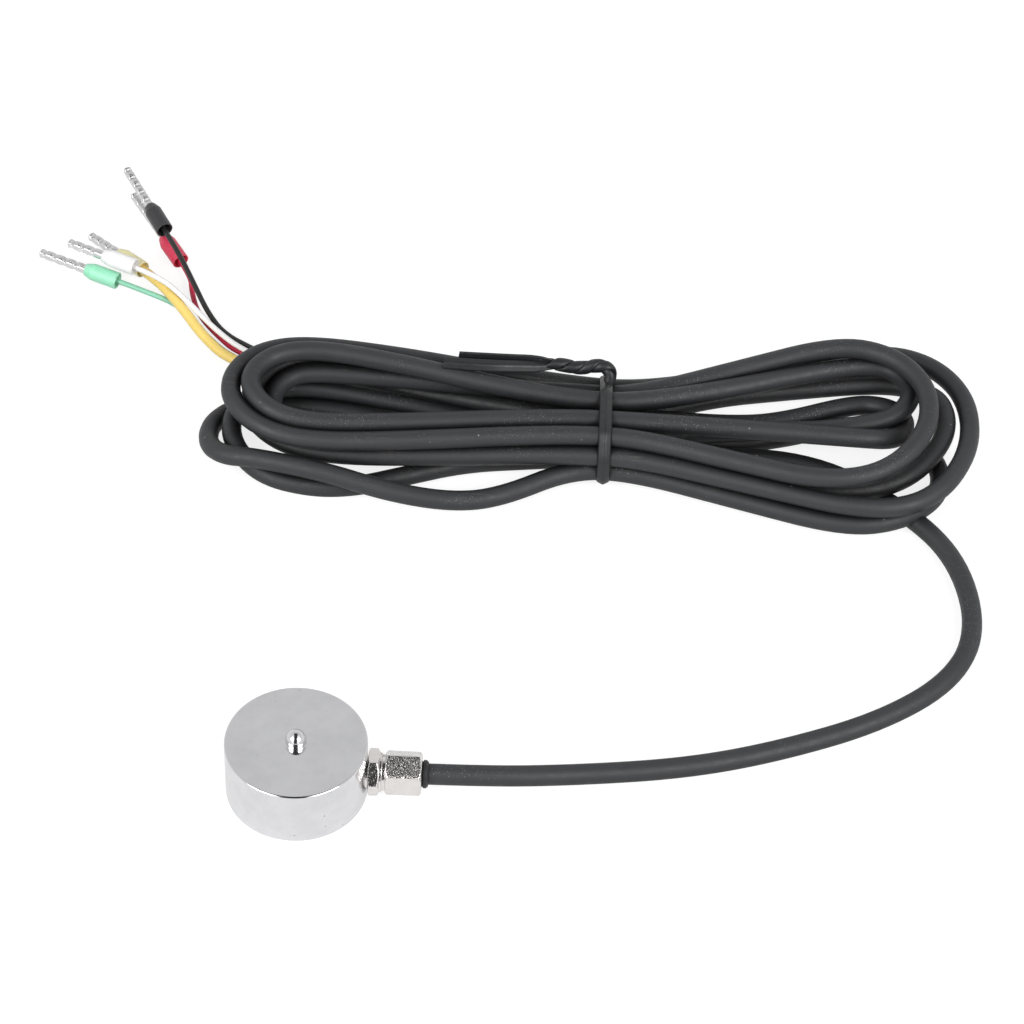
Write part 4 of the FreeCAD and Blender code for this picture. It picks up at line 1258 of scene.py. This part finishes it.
# Section of the pin: its squareness, what a notch takes off and pushes out in shares of its depth, and how
# far the tip closes
PIN_SQUARENESS = 0.5
NOTCH_PINCH = 1.5
NOTCH_BULGE = 0.3
SIDE_BULGE = 0.2
TIP_CLOSING = 0.86
LEAST_TIP = 0.02


def collar_shape(size, place):
    """Ferrule collar: open funnel at the back, cone at the front."""
    outside = size.collar_diameter / 2
    bore = size.bore / 2
    hole = size.pin_width / 2 * PIN_ROOM
    profile = rounded([
        (size.funnel / 2, 0, 0.05 * MM),
        (outside, 0, 0.07 * MM),
        (outside, size.collar_length - size.cone, 0.5 * MM),
        (size.nose / 2, size.collar_length, 0.12 * MM),
        (hole, size.collar_length, 0.05 * MM),
        (hole, size.depth, 0),
        (bore, size.depth, 0),
        (bore, FUNNEL_DEPTH, 0.3 * MM),
    ])
    return lathe(profile, 96, place, closed=True)


def pin_section(size, along, end):
    """Half width and half height of a crimped pin at a place along it."""
    half = size.pin_width / 2
    phase = 2 * math.pi * (end - size.first_crimp - along) / size.crimp_pitch
    pinch = max(0.0, math.cos(phase)) ** 2
    bulge = max(0.0, -math.cos(phase)) ** 2
    bare = min(1.0, max(0.0, (along - size.collar_length - PLAIN_START) / PLAIN_LENGTH))
    tooth = bare * size.tooth_depth * math.cos(2 * math.pi * along / size.tooth_pitch)
    notch = bare * size.crimp_depth
    tip = max(0.0, (along - end + size.pin_tip) / size.pin_tip)
    close = math.sqrt(max(LEAST_TIP, 1 - TIP_CLOSING * tip * tip))
    wide = half + notch * SIDE_BULGE * pinch
    high = half - notch * (NOTCH_PINCH * pinch - NOTCH_BULGE * bulge) + tooth
    return wide * close, high * close


def pin_shape(size, place, reach, rows=110, segments=32):
    """Crimped pin: a bar of rounded square section with notches, fine teeth and a rounded tip."""
    start = size.depth + WIRE_GAP
    end = size.collar_length + reach
    vertices, rings = [], []
    for row in range(rows + 1):
        along = start + (end - start) * row / rows
        wide, high = pin_section(size, along, end)
        ring = []
        for step in range(segments):
            turn = 2 * math.pi * step / segments
            x = math.copysign(abs(math.cos(turn)) ** PIN_SQUARENESS, math.cos(turn)) * wide
            y = math.copysign(abs(math.sin(turn)) ** PIN_SQUARENESS, math.sin(turn)) * high
            ring.append(len(vertices))
            vertices.append(place @ Vector((x, y, along)))
        rings.append(ring)
    return vertices, rings_to_faces(rings, False) + [tuple(reversed(rings[0])), tuple(rings[-1])]


class LOADCELL_OT_wires(Operator):
    """Lays the five wires with their ferrules"""
    bl_idname = "load_cell.wires"
    bl_label = "Wires and ferrules"

    def execute(self, context):
        size = context.scene.load_cell_wires
        colours = context.scene.load_cell_colours
        tin = tinned("tinned_copper", colours.tin)
        for name, route in WIRE_ROUTES.items():
            place = ferrule_place(route, size.depth)
            skin = clear_collar(f"collar_{name}", getattr(colours, f"collar_{name}"), COLLAR_GLOW[name])
            collar = new_piece(f"collar_piece_{name}", *collar_shape(size, place), skin, sharp=50)
            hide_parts(f"ferrule_collar_{name}")
            reach = PIN_REACHES[name] * MM
            pin = new_piece(f"pin_piece_{name}", *pin_shape(size, place, reach), tin, sharp=60)
            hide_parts(f"ferrule_pin_{name}")
            diameter = size.screen_diameter if name == "yellow" else size.diameter
            points = [tuple(value * MM for value in point) for point in route]
            finish = soft_plastic(f"insulation_{name}", getattr(colours, f"wire_{name}"), rough=0.33).material
            wire = cord_curve(f"lead_wire_{name}", points, diameter, finish, 4)
            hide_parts(f"wire_{name}")
            route_length(points)
        return {"FINISHED"}


# The bench's grey, and its own glow as the camera and as polished pieces see it
BENCH_GREY = (0.32, 0.32, 0.32, 1.0)
BENCH_GLOW = 0.8
MIRRORED_GLOW = 0.6


def bench_finish():
    """White bench that stays white in the picture and keeps the shadows."""
    finish = Finish("white_bench", Roughness=0.9, Specular_IOR_Level=0.0)
    finish.shader.inputs["Base Color"].default_value = BENCH_GREY
    path = finish.node("ShaderNodeLightPath").outputs
    seen = finish.combined("MAXIMUM", path["Is Camera Ray"], path["Is Transmission Ray"])
    mirrored = finish.times(path["Is Glossy Ray"], MIRRORED_GLOW)
    glow = finish.node("ShaderNodeEmission")
    strength = finish.combined("MAXIMUM", finish.times(seen, BENCH_GLOW), mirrored)
    finish.join(strength, glow.inputs["Strength"])
    both = finish.node("ShaderNodeAddShader")
    finish.join(finish.shader.outputs["BSDF"], both.inputs[0])
    finish.join(glow.outputs["Emission"], both.inputs[1])
    finish.join(both.outputs["Shader"], finish.tree.nodes["Material Output"].inputs["Surface"])
    return finish.material


# Light of the tent: its cloth overhead and what that gains towards the bench, its panels, the darkness of its
# slit, and what matt pieces get less of it
CLOTH_LIGHT = 0.70
LOW_CLOTH_GAIN = 0.16
PANEL_LIGHT = 0.5
SLIT_DARKNESS = 0.94
MATT_LOSS = 0.3
# Where that light changes, in parts of a direction: the panels' back, inner and outer edges, the slit's back
# edge, and the cloth from overhead downwards
PANEL_BACK = (0.12, -0.06)
PANEL_INNER = (0.27, 0.31)
PANEL_OUTER = (0.64, 0.56)
SLIT_BACK = (0.5, 0.4)
CLOTH_FALL = (0.95, 0.2)


def studio_world(scene):
    """Light tent: grey cloth all round, two white panels in front and a dark slit between them."""
    world = bpy.data.worlds.new("light_tent")
    world.use_nodes = True
    scene.world = world
    nodes = NodeTree(world.node_tree)

    def step(value, edges):
        return nodes.spread(value, edges, interpolation_type="SMOOTHSTEP")

    def without(value, share, loss):
        return nodes.times(value, nodes.combined("SUBTRACT", 1.0, nodes.times(share, loss)))

    way = nodes.axes(nodes.node("ShaderNodeTexCoord").outputs["Generated"])
    aside = nodes.combined("ABSOLUTE", way["X"], 0.0)
    panel = nodes.times(step(way["Y"], PANEL_BACK), step(aside, PANEL_INNER))
    panel = nodes.times(panel, step(aside, PANEL_OUTER))
    slit = nodes.times(step(way["Y"], SLIT_BACK), step(aside, PANEL_INNER[::-1]))
    cloth = nodes.combined("ADD", CLOTH_LIGHT, nodes.times(step(way["Z"], CLOTH_FALL), LOW_CLOTH_GAIN))
    lit = nodes.combined("ADD", cloth, nodes.times(panel, PANEL_LIGHT))
    level = without(lit, slit, SLIT_DARKNESS)
    level = without(level, nodes.node("ShaderNodeLightPath").outputs["Is Diffuse Ray"], MATT_LOSS)
    back = nodes.tree.nodes["Background"]
    back.inputs["Color"].default_value = (1.0, 1.0, 1.0, 1.0)
    nodes.join(level, back.inputs["Strength"])


def camera_pose(size):
    """Camera's place and turn from its azimuth, elevation and roll."""
    level = math.cos(size.elevation)
    right = Vector((math.cos(size.azimuth), math.sin(size.azimuth), 0))
    backward = Vector((right.y * level, -right.x * level, math.sin(size.elevation)))
    upward = backward.cross(right)
    turned = right * math.cos(size.roll) + upward * math.sin(size.roll)
    upright = upward * math.cos(size.roll) - right * math.sin(size.roll)
    pose = Matrix((turned, upright, backward)).transposed().to_4x4()
    pose.translation = size.camera
    return pose


class LOADCELL_OT_stage(Operator):
    """Sets the bench, the light and the camera"""
    bl_idname = "load_cell.stage"
    bl_label = "Stage"

    def execute(self, context):
        scene = context.scene
        size = scene.load_cell_stage
        half = size.bench / 2
        corners = [(-half, -half, 0), (half, -half, 0), (half, half, 0), (-half, half, 0)]
        mesh = bpy.data.meshes.new("bench")
        mesh.from_pydata(corners, [], [(0, 1, 2, 3)])
        mesh.materials.append(bench_finish())
        bench = bpy.data.objects.new("bench", mesh)
        scene.collection.objects.link(bench)
        studio_world(scene)

        for name, side in (("left_panel", -1), ("right_panel", 1)):
            lamp = bpy.data.lights.new(name, "AREA")
            lamp.shape = "SQUARE"
            lamp.size = size.lamp_side
            lamp.energy = size.key_power
            panel = bpy.data.objects.new(name, lamp)
            place = Vector((side * size.lamp[0], size.lamp[1], size.lamp[2]))
            aim = (Vector(size.aim) - place).to_track_quat("-Z", "Y")
            panel.matrix_world = Matrix.Translation(place) @ aim.to_matrix().to_4x4()
            scene.collection.objects.link(panel)

        camera = bpy.data.cameras.new("camera")
        camera.lens = size.lens
        camera.sensor_width = 36.0
        camera.clip_start = 0.01
        camera.clip_end = 20.0
        holder = bpy.data.objects.new("camera", camera)
        holder.matrix_world = camera_pose(size)
        scene.collection.objects.link(holder)
        scene.camera = holder
        scene.view_settings.view_transform = "Standard"
        return {"FINISHED"}


class LOADCELL_PT_panel(Panel):
    """Lists the pieces of the load cell"""
    bl_idname = "LOADCELL_PT_panel"
    bl_label = "Load cell"
    bl_space_type = "VIEW_3D"
    bl_region_type = "UI"
    bl_category = "Load cell"

    def draw(self, context):
        for operator in OPERATORS:
            self.layout.operator(operator.bl_idname)


OPERATORS = (
    LOADCELL_OT_body,
    LOADCELL_OT_insides,
    LOADCELL_OT_gland,
    LOADCELL_OT_cable,
    LOADCELL_OT_tie,
    LOADCELL_OT_wires,
    LOADCELL_OT_stage,
)
GROUPS = {
    "load_cell_body": BodySizes,
    "load_cell_gland": GlandSizes,
    "load_cell_cable": CableSizes,
    "load_cell_tie": TieSizes,
    "load_cell_wires": WireSizes,
    "load_cell_colours": FinishColours,
    "load_cell_stage": StageSizes,
}


def register():
    for group in GROUPS.values():
        bpy.utils.register_class(group)
    for operator in OPERATORS:
        bpy.utils.register_class(operator)
    bpy.utils.register_class(LOADCELL_PT_panel)
    for name, group in GROUPS.items():
        setattr(bpy.types.Scene, name, PointerProperty(type=group))


def unregister():
    for name in GROUPS:
        delattr(bpy.types.Scene, name)
    bpy.utils.unregister_class(LOADCELL_PT_panel)
    for operator in reversed(OPERATORS):
        bpy.utils.unregister_class(operator)
    for group in reversed(GROUPS.values()):
        bpy.utils.unregister_class(group)


def main():
    register()
    bpy.ops.load_cell.body()
    bpy.ops.load_cell.insides()
    bpy.ops.load_cell.gland()
    bpy.ops.load_cell.cable()
    bpy.ops.load_cell.tie()
    bpy.ops.load_cell.wires()
    bpy.ops.load_cell.stage()


if __name__ == "__main__":
    main()
